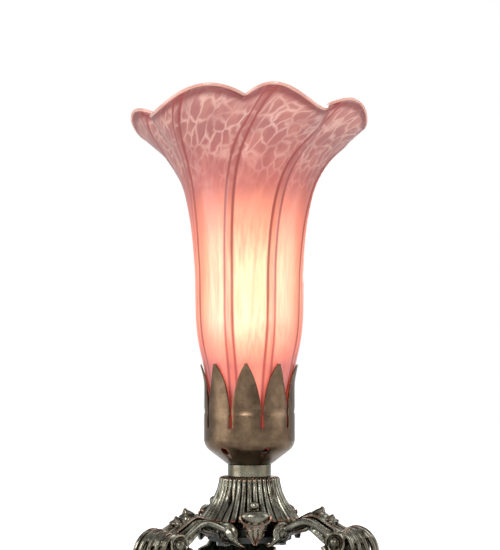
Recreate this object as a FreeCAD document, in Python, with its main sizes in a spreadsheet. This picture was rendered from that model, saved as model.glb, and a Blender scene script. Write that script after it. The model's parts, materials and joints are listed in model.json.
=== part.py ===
import FreeCAD, Part
import math
import os
import re

import Sketcher

# A table lamp with a blown lily shade. Millimetres, +Z up, origin on the lamp's axis at table level.
# The camera side is -Y. Angles are seen from above, from +X towards +Y.

SIZES = [
    # the stack of heights along the axis
    ("neck_seat_height", 78, "underside of the neck above the table"),
    ("neck_height", 22, "fluted neck"),
    ("collar_height", 7, "plain collar between neck and cup"),
    ("cup_height", 54, "petal cup, floor to petal tips"),
    # foot pads
    ("pad_radius", 6.5, "felt pad under each foot"),
    ("pad_height", 2, "felt pad"),
    # hub that the legs are screwed to
    ("hub_plate_radius", 23, "round plate under the leg roots"),
    ("hub_plate_height", 3, "plate"),
    ("hub_boss_radius", 13, "boss that the leg roots surround"),
    ("hub_recess_radius", 11, "recess for nut and washer, open below"),
    ("hub_web", 4, "web that the pipe passes through"),
    ("leg_screw_circle", 17.5, "distance of each leg screw from the axis"),
    ("screw_radius", 2, "leg screw shank"),
    ("screw_head_radius", 4, "leg screw's hexagon head, to its corners"),
    ("screw_head_height", 2.4, "leg screw head"),
    ("screw_length", 10, "leg screw under its head"),
    # threaded pipe, its nuts and washers
    ("pipe_radius", 5, "lamp pipe, one eighth inch nominal"),
    ("pipe_bore", 3.3, "radius of the pipe's bore"),
    ("pipe_tail", 1.5, "pipe showing below its nut"),
    ("hole_clearance", 0.15, "radial clearance of a hole round pipe or screw"),
    ("nut_flats", 14, "across flats of a lock nut"),
    ("nut_height", 3.5, "lock nut"),
    ("washer_radius", 9, "washer under a lock nut"),
    ("washer_height", 1.2, "washer"),
    ("bushing_flange_radius", 4.6, "cord bushing below the pipe"),
    ("bushing_flange_height", 1.2, "flange"),
    ("bushing_sleeve", 6, "length of the bushing inside the pipe"),
    ("bushing_wall", 0.7, "wall of the bushing's sleeve"),
    # fluted neck
    ("neck_top_radius", 16.6, "neck under its rounded lip"),
    ("neck_foot_radius", 27.5, "flared foot of the neck"),
    ("neck_sweep", 1.8, "how late the trumpet flares, an exponent"),
    ("neck_core_radius", 12, "hollow core"),
    ("neck_roof", 4, "metal above the core"),
    ("neck_lip", 1.1, "rounding of the top edge"),
    ("flute_count", 30, "flutes round the neck"),
    ("flute_depth", 0.07, "flute depth as a share of the local radius"),
    # ornament on the neck between the legs
    ("ball_radius", 2.6, "ball on the flutes"),
    ("ball_height", 8, "ball's centre above the neck's underside"),
    ("dome_width", 15, "oval dome under the ball"),
    ("dome_depth", 7, "dome, front to back"),
    ("pendant_width", 12, "hanging leaf"),
    ("pendant_drop", 12, "hanging leaf's tip below the neck's underside"),
    ("pendant_thickness", 2.4, "hanging leaf"),
    # collar
    ("collar_radius", 11.9, "collar"),
    ("collar_edge", 0.5, "rounding of the collar's edges"),
    # petal cup
    ("cup_radius", 25, "straight wall of the cup, outside"),
    ("cup_wall", 0.8, "spun sheet"),
    ("cup_floor_radius", 12.5, "flat floor, outside"),
    ("bowl_height", 13.5, "bowl below the straight wall"),
    ("bowl_slope", 40, "slope of the bowl's conical part, degrees"),
    ("bowl_shoulder", 8, "radius that turns the cone into the wall"),
    ("petal_flare_height", 11, "flared part of the petals"),
    ("petal_flare", 2.4, "how far the petal tips lean out"),
    ("petal_count", 9, "petals"),
    ("petal_taper", 1.6, "how late a petal narrows, an exponent"),
    ("petal_roundness", 0.75, "how round a petal's sides are, an exponent"),
    ("petal_tip_width", 1.8, "blunt tip of a petal"),
    ("petal_root_height", 28, "crease at the petals' root above the floor"),
    ("keyhole_bottom", 19.5, "lower end of each slot above the floor"),
    ("keyhole_width", 2, "slot below the petals"),
    ("slot_neck_width", 1.1, "slot at the petals' root"),
    ("vent_count", 6, "vent holes in the bowl"),
    ("vent_radius", 2, "vent hole"),
    ("vent_height", 7.5, "vent holes above the floor"),
    # lamp holder
    ("bracket_thickness", 1.2, "steel strap"),
    ("bracket_width", 13, "strap"),
    ("bracket_arm", 11, "height of the strap's arms"),
    ("holder_radius", 11, "moulded lamp holder"),
    ("holder_height", 23, "moulded lamp holder"),
    ("holder_flat", 10, "distance of the two flats from the axis"),
    ("holder_recess_radius", 7.5, "recess over the pipe's end"),
    ("holder_recess_depth", 5, "recess"),
    ("holder_web", 2.5, "floor between recess and lamp cavity"),
    ("shell_wall", 0.4, "screw shell"),
    ("shell_gap", 0.3, "between screw shell and lamp cap, and shell and holder"),
    ("contact_spring_radius", 3.4, "centre contact in the holder"),
    ("contact_spring_height", 0.8, "centre contact"),
    ("terminal_radius", 2.2, "terminal screw head"),
    ("terminal_height", 2, "terminal screw head"),
    ("terminal_level", 16, "terminal screws above the holder's foot"),
    # lamp bulb, small screw cap, torpedo shape
    ("cap_radius", 5.95, "screw cap"),
    ("cap_height", 14, "screw cap"),
    ("cap_wall", 0.35, "screw cap"),
    ("insulator_height", 1.8, "black button under the cap"),
    ("button_radius", 1.7, "lamp's centre contact"),
    ("button_height", 1, "lamp's centre contact"),
    ("envelope_radius", 15, "widest part of the glass bulb"),
    ("envelope_height", 80, "glass above the cap"),
    ("envelope_belly", 30, "height of the widest part above the cap"),
    ("envelope_wall", 0.7, "glass"),
    ("stem_radius", 2, "glass stem inside the bulb"),
    ("stem_height", 22, "stem above the cap"),
    ("filament_height", 34, "filament above the cap"),
    ("filament_span", 14, "length of the filament"),
    ("filament_radius", 0.4, "coiled filament"),
    ("lead_radius", 0.3, "lead wires"),
    # blown shade
    ("fitter_radius", 20.6, "shade's lower end"),
    ("seat_gap", 0.3, "between the shade's end and the bowl"),
    ("calyx_gap", 0.7, "between the shade and the petal tips"),
    ("stem_bell_radius", 29.5, "slender part above the petals"),
    ("stem_bell_rise", 26, "its height above the petal tips"),
    ("throat_radius", 30.6, "throat"),
    ("throat_rise", 62, "its height above the petal tips"),
    ("bell_radius", 37, "where the bell opens"),
    ("bell_rise", 99, "its height above the petal tips"),
    ("flare_radius", 45.5, "bell under the ruffles"),
    ("flare_rise", 119, "its height above the petal tips"),
    ("rim_radius", 55.5, "ruffled rim at its dips"),
    ("rim_rise", 135.6, "height of the dips above the petal tips"),
    ("glass_wall", 2.5, "blown glass"),
    ("lobe_reach", 11.5, "how far a lobe of the rim reaches past the dips"),
    ("lobe_lean", 5.2, "how far a lobe rises on one side and falls on the other"),
    ("lobe_droop", 2, "how far the middle of a lobe hangs"),
    ("rib_count", 8, "moulded ribs"),
    ("rib_height", 0.8, "ribs stand proud of the glass"),
    ("rib_swirl", 34, "turn of the ribs towards the rim, degrees"),
    # scroll legs
    ("leg_thickness", 3, "casting wall"),
    ("leaf_depth", 9, "how far the leaf's sides curl down"),
    ("leaf_ridge", 1.2, "ridges along the leaf"),
    ("root_inner_gap", 0.3, "between a leg's root and the hub's boss"),
    ("root_radius", 27, "outer radius of a leg's root under the neck"),
    ("root_height", 8.5, "thickness of a leg's root"),
    ("root_angle", 34, "half of the angle that a root spans"),
    ("crest_reach", 38, "top of the arm from the axis"),
    ("crest_height", 81.6, "top of the arm above the table"),
    ("crest_width", 18, "arm"),
    ("brow_reach", 60.5, "outer shoulder"),
    ("brow_height", 69.5, "outer shoulder"),
    ("brow_width", 28, "leaf at the shoulder"),
    ("knee_reach", 69.5, "knee, the widest part"),
    ("knee_height", 51, "knee"),
    ("knee_width", 53, "leaf at the knee"),
    ("shin_reach", 64.5, "shin"),
    ("shin_height", 30, "shin"),
    ("shin_width", 33, "leaf at the shin"),
    ("ankle_reach", 56.5, "ankle"),
    ("ankle_height", 15, "ankle"),
    ("ankle_width", 19, "ankle"),
    ("foot_inset", 6.5, "middle of the foot behind the knee"),
    ("foot_scroll_radius", 6.5, "scroll that the leg stands on"),
    ("foot_width", 19, "foot scroll"),
    ("sole_height", 3.5, "flat sole under the scroll"),
    ("horn_reach", 42.5, "leaf tip that stands up from the arm"),
    ("horn_height", 85, "leaf tip above the table"),
    ("horn_radius", 4.5, "leaf tip's root"),
    ("volute_reach", 53, "side volute from the axis"),
    ("volute_height", 68, "side volute above the table"),
    ("volute_radius", 6.2, "side volute"),
    ("volute_half_width", 11.5, "outer face of the volutes from the leg's middle"),
    ("eye_radius", 3.4, "round eye of a volute"),
    ("eye_height", 2.2, "round eye"),
    ("lobe_angle", 28, "side lobes of the root, from the leg's middle"),
    ("lobe_radius", 5.8, "side lobes"),
    ("lobe_thickness", 4, "side lobes"),
]

LEG_ANGLES = {"left": 217, "right": 337, "rear": 97}  # one leg every 120 degrees
LEG_PITCH = 120
SLOT_START = 6  # one slot between two petals
VENT_START = -6.5  # one vent
RIB_START = 23  # one rib of the glass
RIM_DIPS = [(268, 1), (320, 1), (376, 1), (433, -1), (494, -1), (557, -1)]  # angle, and the way the lobe leans
LOBE_FULLNESS = 0.8  # below 1 a lobe is broader than a sine
SWIRL_START = 0.42  # share of the glass below the swirl
RUFFLE_START = 0.76  # share of the glass below the ruffles
COLUMNS_PER_RIB = 6
COLUMNS_PER_PETAL = 4
ROOT_STEPS = 8
LEAF_ROWS = 15
SHADE_ROWS = 15
SHOULDER_ROWS = 4
PETAL_ROWS = 7
FLARE_POWER = 1.5  # how late the petals lean out
NECK_ROWS = 6
SKIN_GAP = 0.02  # keeps a seated round face off its neighbour
BEAD_SIDES = 12
ROLL_SIDES = 12
RING_SIDES = 24
FLAT_ENOUGH = 1e-7
SAME_POINT = 1e-4

vector = FreeCAD.Vector
os.makedirs("parts", exist_ok=True)
document = FreeCAD.newDocument("tulip_table_lamp")
sheet = document.addObject("Spreadsheet::Sheet", "sizes")
for row, (name, number, note) in enumerate(SIZES, start=1):
    sheet.set(f"A{row}", str(number))
    sheet.setAlias(f"A{row}", name)
    sheet.set(f"B{row}", note)
document.recompute()

aliases = {name for name, _, _ in SIZES}
subparts = []


def size(text):
    """The number that an expression of sheet names gives."""
    return float(sheet.evalExpression(text))


def bound(text):
    """The same expression as another object has to write it."""
    return re.sub(r"[a-z_]+", lambda word: "sizes." + word[0] if word[0] in aliases else word[0], text)


def bind(thing, prop, text):
    thing.setExpression(prop, bound(text))


# Heights that follow from the stack, as expressions.
neck_top = "(neck_seat_height + neck_height)"
cup_floor = f"({neck_top} + collar_height)"
cup_inside = f"({cup_floor} + cup_wall)"
petal_tips = f"({cup_floor} + cup_height)"
root_bottom = "(neck_seat_height - root_height)"
hub_bottom = f"({root_bottom} - hub_plate_height)"
web_bottom = "(neck_seat_height - hub_web)"
lower_nut_bottom = f"({web_bottom} - washer_height - nut_height)"
pipe_bottom = f"({lower_nut_bottom} - pipe_tail)"
upper_nut_bottom = f"({cup_inside} + washer_height)"
bracket_bottom = f"({upper_nut_bottom} + nut_height)"
holder_bottom = f"({bracket_bottom} + bracket_thickness)"
pipe_top = f"({holder_bottom} + pipe_tail)"
cavity_bottom = f"({holder_bottom} + holder_recess_depth + holder_web)"
contact_top = f"({cavity_bottom} + contact_spring_height)"
button_bottom = f"({contact_top} + shell_gap)"
cap_bottom = f"({button_bottom} + button_height + insulator_height)"
cap_top = f"({cap_bottom} + cap_height)"
shell_inside = "(cap_radius + shell_gap)"
shell_outside = f"({shell_inside} + shell_wall)"
cavity_radius = f"({shell_outside} + shell_gap)"
foot_reach = "(knee_reach - foot_inset)"
pipe_hole = "(pipe_radius + hole_clearance)"
screw_hole = "(screw_radius + hole_clearance)"


# ---- ways to make a piece ----


def keep(thing, label):
    thing.Label = label
    subparts.append(thing)
    return thing


def new_body(label):
    return keep(document.addObject("PartDesign::Body", label), label)


def new_sketch(body, role, name, lift=None):
    """An empty sketch on one of the body's own planes, raised by an expression."""
    sketch = body.newObject("Sketcher::SketchObject", name)
    plane = [f for f in body.Origin.OriginFeatures if f.Role == role][0]
    sketch.AttachmentSupport = [(plane, "")]
    sketch.MapMode = "FlatFace"
    if lift:
        bind(sketch, "AttachmentOffset.Base.z", lift)
    return sketch


def draw_outline(sketch, corners, bulges=None):
    """A closed outline through corners given as expressions; a bulge makes its side an arc."""
    bulges = bulges or {}
    spots = [vector(size(x), size(y), 0) for x, y in corners]
    count = len(spots)
    ends = []
    for i, start in enumerate(spots):
        stop = spots[(i + 1) % count]
        if i in bulges:
            middle = vector(size(bulges[i][0]), size(bulges[i][1]), 0)
            forward = (middle - start).cross(stop - middle).z > 0
            arc = Part.Arc(start, middle, stop) if forward else Part.Arc(stop, middle, start)
            side = sketch.addGeometry(arc)
            pin = sketch.addGeometry(Part.Point(middle), True)
            place_point(sketch, pin, bulges[i])
            sketch.addConstraint(Sketcher.Constraint("PointOnObject", pin, 1, side))
            ends.append((side, 1, 2) if forward else (side, 2, 1))
        else:
            side = sketch.addGeometry(Part.LineSegment(start, stop))
            ends.append((side, 1, 2))
    for i, (side, start, stop) in enumerate(ends):
        after, first, _ = ends[(i + 1) % count]
        sketch.addConstraint(Sketcher.Constraint("Coincident", side, stop, after, first))
        place_point(sketch, side, corners[i], start)


def place_point(sketch, geometry, corner, end=1):
    """Hold a point of the sketch at the two expressions of corner."""
    for kind, text in (("DistanceX", corner[0]), ("DistanceY", corner[1])):
        rule = Sketcher.Constraint(kind, -1, 1, geometry, end, size(text))
        index = sketch.addConstraint(rule)
        bind(sketch, f"Constraints[{index}]", text)


def draw_circle(sketch, radius, centre=("0", "0")):
    spot = vector(size(centre[0]), size(centre[1]), 0)
    ring = sketch.addGeometry(Part.Circle(spot, vector(0, 0, 1), size(radius)))
    place_point(sketch, ring, centre, 3)
    index = sketch.addConstraint(Sketcher.Constraint("Radius", ring, size(radius)))
    bind(sketch, f"Constraints[{index}]", radius)


def turned(label, corners, bulges=None):
    """A body turned about the lamp's axis from a half section."""
    body = new_body(label)
    sketch = new_sketch(body, "XZ_Plane", label + "_section")
    draw_outline(sketch, corners, bulges)
    lathe = body.newObject("PartDesign::Revolution", label + "_turned")
    lathe.Profile = sketch
    lathe.ReferenceAxis = (sketch, ["V_Axis"])
    lathe.Angle = 360
    document.recompute()
    return body


def ring(label, inner, outer, bottom, top):
    """A plain turned ring between two radii and two heights."""
    return turned(label, [(inner, bottom), (outer, bottom), (outer, top), (inner, top)])


def pocket_through(body, sketch, name, reverse=False, midplane=False):
    """Cut a sketch right through the body on one side of its plane, or on both."""
    pocket = body.newObject("PartDesign::Pocket", name)
    pocket.Profile = sketch
    pocket.Type = "ThroughAll"
    pocket.Midplane = midplane
    pocket.Reversed = reverse
    document.recompute()
    return pocket


def pattern_round(body, feature, name, count):
    """Repeat a cut evenly round the lamp's axis."""
    pattern = body.newObject("PartDesign::PolarPattern", name)
    pattern.Originals = [feature]
    axis = [f for f in body.Origin.OriginFeatures if f.Role == "Z_Axis"][0]
    pattern.Axis = (axis, [""])
    pattern.Angle = 360
    bind(pattern, "Occurrences", count)
    body.Tip = pattern
    document.recompute()


def cast(label, shape, turn=0):
    """A piece whose shape is built from faces, turned about the lamp's axis."""
    piece = document.addObject("Part::Feature", label)
    piece.Shape = shape
    piece.Placement = FreeCAD.Placement(vector(0, 0, 0), FreeCAD.Rotation(vector(0, 0, 1), turn))
    return keep(piece, label)


def flat_face(*points):
    return Part.Face(Part.makePolygon([*points, points[0]]))


def patch(a, b, c, d):
    """One flat face on four points, or two where they aren't in a plane."""
    normal = (b - a).cross(d - a)
    normal.normalize()
    if abs((c - a).dot(normal)) < FLAT_ENOUGH:
        return [flat_face(a, b, c, d)]
    return [flat_face(a, b, c), flat_face(a, c, d)]


def skin(loops):
    """Faces between closed loops that have equally many points."""
    faces = []
    for lower, upper in zip(loops, loops[1:]):
        count = len(lower)
        for i in range(count):
            j = (i + 1) % count
            faces += patch(lower[i], lower[j], upper[j], upper[i])
    return faces


def closed_solid(faces):
    shell = Part.makeShell(faces)
    shell.sewShape(SAME_POINT)
    solid = Part.Solid(shell)
    if solid.Volume < 0:
        solid.reverse()
    return solid


def polar(radius, angle, height):
    """A point by radius, angle in radians and height."""
    return vector(radius * math.cos(angle), radius * math.sin(angle), height)


def bead(centre, wide, deep, tall):
    """A faceted ball or oval with half axes wide along x, deep along y, tall along z."""
    loops = []
    for i in range(1, BEAD_SIDES // 2):
        tilt = 2 * math.pi * i / BEAD_SIDES - math.pi / 2
        ring_points = [polar(math.cos(tilt), 2 * math.pi * k / BEAD_SIDES, math.sin(tilt)) for k in range(BEAD_SIDES)]
        loops.append([centre + vector(p.x * wide, p.y * deep, p.z * tall) for p in ring_points])
    return closed_solid(skin(loops) + [flat_face(*loops[0]), flat_face(*loops[-1])])


def facet_ring(radius, height):
    """A regular polygon round the axis that stands for a circle."""
    return [polar(radius, 2 * math.pi * i / RING_SIDES, height) for i in range(RING_SIDES)]


def facet_roll(radius, length, start, axis):
    """A straight roll with flat sides, from start along axis."""
    turn = FreeCAD.Rotation(vector(0, 0, 1), axis)
    sides = [polar(radius, 2 * math.pi * (i + 0.5) / ROLL_SIDES, 0) for i in range(ROLL_SIDES)]
    return flat_face(*[start + turn.multVec(side) for side in sides]).extrude(axis * length)


def curve_through(points):
    curve = Part.BSplineCurve()
    curve.interpolate(points)
    return curve


def along(curve, count):
    """Evenly spaced points and directions along a curve."""
    first, last = curve.FirstParameter, curve.LastParameter
    steps = [first + (last - first) * i / (count - 1) for i in range(count)]
    return [(curve.value(step), curve.tangent(step)[0]) for step in steps]


# ---- base: pads, legs, hub ----


def leg_line():
    """The middle line of a leg's leaf: x out from the axis, y half of its width, z up."""
    foot_top = size("pad_height + 2 * foot_scroll_radius")
    under_neck = size("neck_seat_height") - 1
    keys = [
        (size("hub_plate_radius") + 1, size("crest_width") / 2 - 1, under_neck - 1.5),
        (size("root_radius") + 1, size("crest_width") / 2 - 0.5, under_neck + 0.3),
        (size("crest_reach"), size("crest_width") / 2, size("crest_height")),
        (size("crest_reach + brow_reach") / 2, size("crest_width") / 2 + 1, size("crest_height + brow_height") / 2),
        (size("brow_reach"), size("brow_width") / 2, size("brow_height")),
        (size("knee_reach"), size("knee_width") / 2, size("knee_height")),
        (size("shin_reach"), size("shin_width") / 2, size("shin_height")),
        (size("ankle_reach"), size("ankle_width") / 2, size("ankle_height")),
        (size(foot_reach), size("foot_width") / 2 - 1, foot_top - size("foot_scroll_radius")),
    ]
    return curve_through([vector(*key) for key in keys])


def leaf_section(spot, direction, share):
    """A loop across the leg: ridged and crowned outside, plain and hollow inside."""
    across = vector(0, 1, 0)
    forward = vector(direction.x, 0, direction.z)
    forward.normalize()
    outward = vector(-forward.z, 0, forward.x)
    half = spot.y
    middle = vector(spot.x, 0, spot.z)
    depth = min(size("leaf_depth"), half * 0.8) * min(1, 0.3 + 6 * share, 0.2 + 6 * (1 - share))
    wall = size("leg_thickness")
    ridge = size("leaf_ridge") * half / size("knee_width") * 2
    outer_steps = [i / 6 for i in range(-6, 7)]
    inner_steps = [i / 3 for i in range(3, -4, -1)]
    outside = []
    for i, step in enumerate(outer_steps):
        rise = ridge if i % 2 == 0 else 0
        outside.append(middle + across * half * step + outward * (rise - depth * step * step))
    inner_half = half - wall * 0.6
    inside = [middle + across * inner_half * s - outward * (wall + depth * s * s) for s in inner_steps]
    return outside + inside


def leg_arm():
    """The hollow-backed leaf from the hub over the knee to the foot."""
    stations = along(leg_line(), LEAF_ROWS)
    loops = [leaf_section(*station, i / (LEAF_ROWS - 1)) for i, station in enumerate(stations)]
    return closed_solid(skin(loops) + [flat_face(*loops[0]), flat_face(*loops[-1])])


def leg_root():
    """The flat sector that is clamped between hub plate and neck."""
    bottom = size(root_bottom)
    half = math.radians(size("root_angle"))
    angles = [half * (2 * i / ROOT_STEPS - 1) for i in range(ROOT_STEPS + 1)]
    outer = [polar(size("root_radius"), angle, bottom) for angle in angles]
    inner = [polar(size("hub_boss_radius + root_inner_gap"), angle, bottom) for angle in reversed(angles)]
    return flat_face(*outer, *inner).extrude(vector(0, 0, size("root_height")))


def root_lobe(side):
    """A round leaf lobe with a raised eye, which hangs beside the root."""
    radius = size("lobe_radius")
    height = size("neck_seat_height") - radius - size("root_inner_gap")
    thickness = size("lobe_thickness")
    start = size("root_radius") - thickness / 2
    disc = facet_roll(radius, thickness, vector(start, 0, height), vector(1, 0, 0))
    eye = facet_roll(radius / 2, thickness + 1, vector(start, 0, height), vector(1, 0, 0))
    lobe = disc.fuse(eye)
    lobe.rotate(vector(0, 0, 0), vector(0, 0, 1), side * size("lobe_angle"))
    return lobe


def side_volutes():
    """The rolled leaf sides below the arm, with a round eye on each side."""
    half = size("volute_half_width")
    eye_half = half + size("eye_height")
    x, z = size("volute_reach"), size("volute_height")
    across = vector(0, 1, 0)
    roll = facet_roll(size("volute_radius"), 2 * half, vector(x, -half, z), across)
    eyes = facet_roll(size("eye_radius"), 2 * eye_half, vector(x, -eye_half, z), across)
    return roll.fuse(eyes)


def leg_horn():
    """The leaf tip that stands up from the arm."""
    tip = vector(size("horn_reach"), 0, size("horn_height"))
    foot = vector(size("horn_reach") - 3, 0, size("crest_height") - size("leg_thickness"))
    wide = size("horn_radius")
    root = [foot + vector(x * wide, y * wide, 0) for x, y in ((1, 0), (0, 1), (-1, 0), (0, -1))]
    faces = [flat_face(root[i - 1], root[i], tip) for i in range(4)]
    return closed_solid(faces + [flat_face(*root)])


def leg_foot():
    """The foot scroll on its flat sole."""
    x = size(foot_reach)
    half = size("foot_width") / 2
    floor = size("pad_height")
    radius = size("foot_scroll_radius")
    centre = floor + radius
    across = vector(0, 1, 0)
    roll = facet_roll(radius, 2 * half, vector(x, -half, centre), across)
    boss_half = half + 1.5
    boss = facet_roll(radius / 2, 2 * boss_half, vector(x, -boss_half, centre), across)
    sole = facet_roll(size("pad_radius") + 0.5, size("sole_height"), vector(x, 0, floor), vector(0, 0, 1))
    return roll.fuse([boss, sole])


def scroll_leg():
    extras = [leg_root(), root_lobe(-1), root_lobe(1), side_volutes(), leg_horn(), leg_foot()]
    leg = leg_arm().fuse(extras).removeSplitter()
    depth = size("screw_length - hub_plate_height") + 0.5
    place = vector(size("leg_screw_circle"), 0, size(root_bottom))
    return leg.cut(Part.makeCylinder(size(screw_hole), depth, place))


def leg_screws():
    """One hexagon screw for each leg, from below through the hub plate."""
    head_height = size("screw_head_height")
    centre = vector(size("leg_screw_circle"), 0, size(hub_bottom) - head_height)
    corners = [centre + polar(size("screw_head_radius"), math.radians(60 * i), 0) for i in range(6)]
    head = flat_face(*corners).extrude(vector(0, 0, head_height))
    shank = Part.makeCylinder(size("screw_radius"), size("screw_length") + head_height, centre)
    screw = head.fuse(shank).removeSplitter()
    screws = []
    for angle in LEG_ANGLES.values():
        copy = screw.copy()
        copy.rotate(vector(0, 0, 0), vector(0, 0, 1), angle)
        screws.append(copy)
    return Part.makeCompound(screws)


def foot_pad(side, angle):
    pad = document.addObject("Part::Cylinder", side + "_foot_pad")
    bind(pad, "Radius", "pad_radius")
    bind(pad, "Height", "pad_height")
    bind(pad, "Placement.Base.x", f"{foot_reach} * cos({angle})")
    bind(pad, "Placement.Base.y", f"{foot_reach} * sin({angle})")
    keep(pad, side + "_foot_pad")


def leg_hub():
    """Plate and boss in one casting, recessed below for the nut."""
    section = [
        (pipe_hole, web_bottom),
        ("hub_recess_radius", web_bottom),
        ("hub_recess_radius", hub_bottom),
        ("hub_plate_radius", hub_bottom),
        ("hub_plate_radius", root_bottom),
        ("hub_boss_radius", root_bottom),
        ("hub_boss_radius", "neck_seat_height"),
        (pipe_hole, "neck_seat_height"),
    ]
    hub = turned("leg_hub", section)
    sketch = new_sketch(hub, "XY_Plane", "hub_screw_hole_sketch")
    first = LEG_ANGLES["rear"]
    draw_circle(sketch, screw_hole, (f"leg_screw_circle * cos({first})", f"leg_screw_circle * sin({first})"))
    hole = pocket_through(hub, sketch, "hub_screw_hole", reverse=True)
    pattern_round(hub, hole, "hub_screw_holes", "3")


# ---- pipe, nuts, washers ----


def lock_nut(label, bottom):
    """A hexagon nut on the pipe."""
    body = new_body(label)
    sketch = new_sketch(body, "XY_Plane", label + "_outline", bottom)
    corner = "nut_flats / 2 / cos(30)"
    corners = [(f"{corner} * cos({60 * i})", f"{corner} * sin({60 * i})") for i in range(6)]
    draw_outline(sketch, corners)
    draw_circle(sketch, pipe_hole)
    pad = body.newObject("PartDesign::Pad", label + "_pad")
    pad.Profile = sketch
    bind(pad, "Length", "nut_height")
    document.recompute()


def cord_bushing():
    """Flanged plastic bushing in the lower end of the pipe."""
    sleeve = "(pipe_bore - hole_clearance)"
    bore = f"({sleeve} - bushing_wall)"
    flange_bottom = f"({pipe_bottom} - bushing_flange_height)"
    section = [
        (bore, flange_bottom),
        ("bushing_flange_radius", flange_bottom),
        ("bushing_flange_radius", pipe_bottom),
        (sleeve, pipe_bottom),
        (sleeve, f"{pipe_bottom} + bushing_sleeve"),
        (bore, f"{pipe_bottom} + bushing_sleeve"),
    ]
    turned("cord_bushing", section)


# ---- neck and collar ----


def neck_radius(height):
    """Radius of the trumpet at a height above the neck's underside."""
    top = size("neck_top_radius")
    left = 1 - height / size("neck_height")
    return top + (size("neck_foot_radius") - top) * left ** size("neck_sweep")


def fluted_loop(radius, height):
    """A star of ridges and valleys."""
    count = int(size("flute_count"))
    valley = radius * (1 - size("flute_depth"))
    step = math.pi / count
    return [polar(valley if i % 2 else radius, i * step, height) for i in range(2 * count)]


def neck_ornament(angle):
    """Ball, oval dome and hanging leaf between two legs."""
    seat = size("neck_seat_height")
    up = size("ball_height")
    ball_half = size("ball_radius")
    ball = bead(vector(neck_radius(up), 0, seat + up), ball_half, ball_half, ball_half)
    reach = size("root_radius")
    deep = size("dome_depth") / 2
    dome = bead(vector(reach - deep / 2, 0, seat + deep / 2), deep, size("dome_width") / 2, deep)
    wide = size("pendant_width") / 2
    tip = seat - size("pendant_drop")
    back = reach - size("pendant_thickness")
    outline = [(-wide * 0.6, seat), (-wide, seat - 5), (-wide * 0.55, seat - 8), (0, tip)]
    outline += [(-y, z) for y, z in reversed(outline[:-1])]
    leaf = flat_face(*[vector(back, y, z) for y, z in outline])
    leaf = leaf.extrude(vector(size("pendant_thickness"), 0, 0))
    bridge = Part.makeBox(6, wide * 1.2, 2, vector(back - 4, -wide * 0.6, seat - 0.5))
    ornament = ball.fuse([dome, leaf, bridge])
    ornament.rotate(vector(0, 0, 0), vector(0, 0, 1), angle)
    return ornament


def fluted_neck():
    height = size("neck_height")
    lip = size("neck_lip")
    seat = size("neck_seat_height")
    levels = [(height - lip) * i / (NECK_ROWS - 1) for i in range(NECK_ROWS)]
    loops = [fluted_loop(neck_radius(level), seat + level) for level in levels]
    loops.append(fluted_loop(size("neck_top_radius") - lip, seat + height))
    neck = closed_solid(skin(loops) + [flat_face(*loops[0]), flat_face(*loops[-1])])
    ornaments = [neck_ornament(angle + LEG_PITCH / 2) for angle in LEG_ANGLES.values()]
    neck = neck.fuse(ornaments)
    core = Part.makeCylinder(size("neck_core_radius"), height - size("neck_roof"), vector(0, 0, seat))
    bore = Part.makeCylinder(size(pipe_hole), height, vector(0, 0, seat))
    return neck.cut([core, bore]).removeSplitter()


def neck_collar():
    inside = "(collar_radius - collar_edge)"
    section = [
        (pipe_hole, neck_top),
        (inside, neck_top),
        ("collar_radius", f"{neck_top} + collar_edge"),
        ("collar_radius", f"{cup_floor} - collar_edge"),
        (inside, cup_floor),
        (pipe_hole, cup_floor),
    ]
    turned("neck_collar", section)


# ---- petal cup ----


def shoulder_point(angle, inset):
    """A point on the round shoulder between the bowl's cone and the wall, as expressions."""
    radius = f"(bowl_shoulder - {inset})"
    reach = f"(cup_radius - bowl_shoulder + {radius} * sin({angle}))"
    height = f"({cup_floor} + bowl_height - {radius} * cos({angle}))"
    return reach, height


def petal_half(height):
    """Half of a petal's width at a height above the cup's floor."""
    root = size("petal_root_height")
    share = (height - root) / (size("cup_height") - root)
    full = math.pi * size("cup_radius / petal_count") - size("slot_neck_width") / 2
    narrow = max(0, 1 - share ** size("petal_taper")) ** size("petal_roundness")
    return max(size("petal_tip_width") / 2, full * narrow)


def slot_line():
    """Heights above the cup's floor and half of a petal's width there, from the slots' ends to the tips."""
    bottom, root = size("keyhole_bottom"), size("petal_root_height")
    pitch = math.pi * size("cup_radius / petal_count")
    wide, narrow = size("keyhole_width") / 2, size("slot_neck_width") / 2
    line = [(bottom, pitch), (bottom + wide, pitch - wide), (root - 2 * narrow, pitch - wide)]
    for i in range(PETAL_ROWS + 1):
        height = root + (size("cup_height") - root) * math.sin(math.pi / 2 * i / PETAL_ROWS)
        line.append((height, petal_half(height)))
    return line


def cup_row(radius, height, petal_share):
    """Points round the cup, petal by petal, each as wide as its share of the pitch."""
    pitch = 2 * math.pi / size("petal_count")
    row = []
    for petal in range(int(size("petal_count"))):
        middle = math.radians(SLOT_START) + pitch * (petal + 0.5)
        steps = [2 * i / COLUMNS_PER_PETAL - 1 for i in range(COLUMNS_PER_PETAL + 1)]
        row.append([polar(radius, middle + step * petal_share * pitch / 2, height) for step in steps])
    return row


def cup_side(inset):
    """Rows up one side of the sheet: bowl, wall, and the petals that the slots part."""
    floor = size(f"{cup_floor} + {inset}")
    rows = [cup_row(size(f"cup_floor_radius - {inset} / 2"), floor, 1)]
    slope = size("bowl_slope")
    for i in range(SHOULDER_ROWS):
        angle = slope + (90 - slope) * i / (SHOULDER_ROWS - 1)
        reach, height = [size(text) for text in shoulder_point(angle, inset)]
        rows.append(cup_row(reach, height, 1))
    wall, pitch = size(f"cup_radius - {inset}"), math.pi * size("cup_radius / petal_count")
    flare_start = size("cup_height - petal_flare_height")
    for height, half in slot_line():
        lean = max(0, (height - flare_start) / size("petal_flare_height")) ** FLARE_POWER
        reach = wall + size("petal_flare") * lean
        rows.append(cup_row(reach, size(cup_floor) + height, half / pitch))
    return rows


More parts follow.
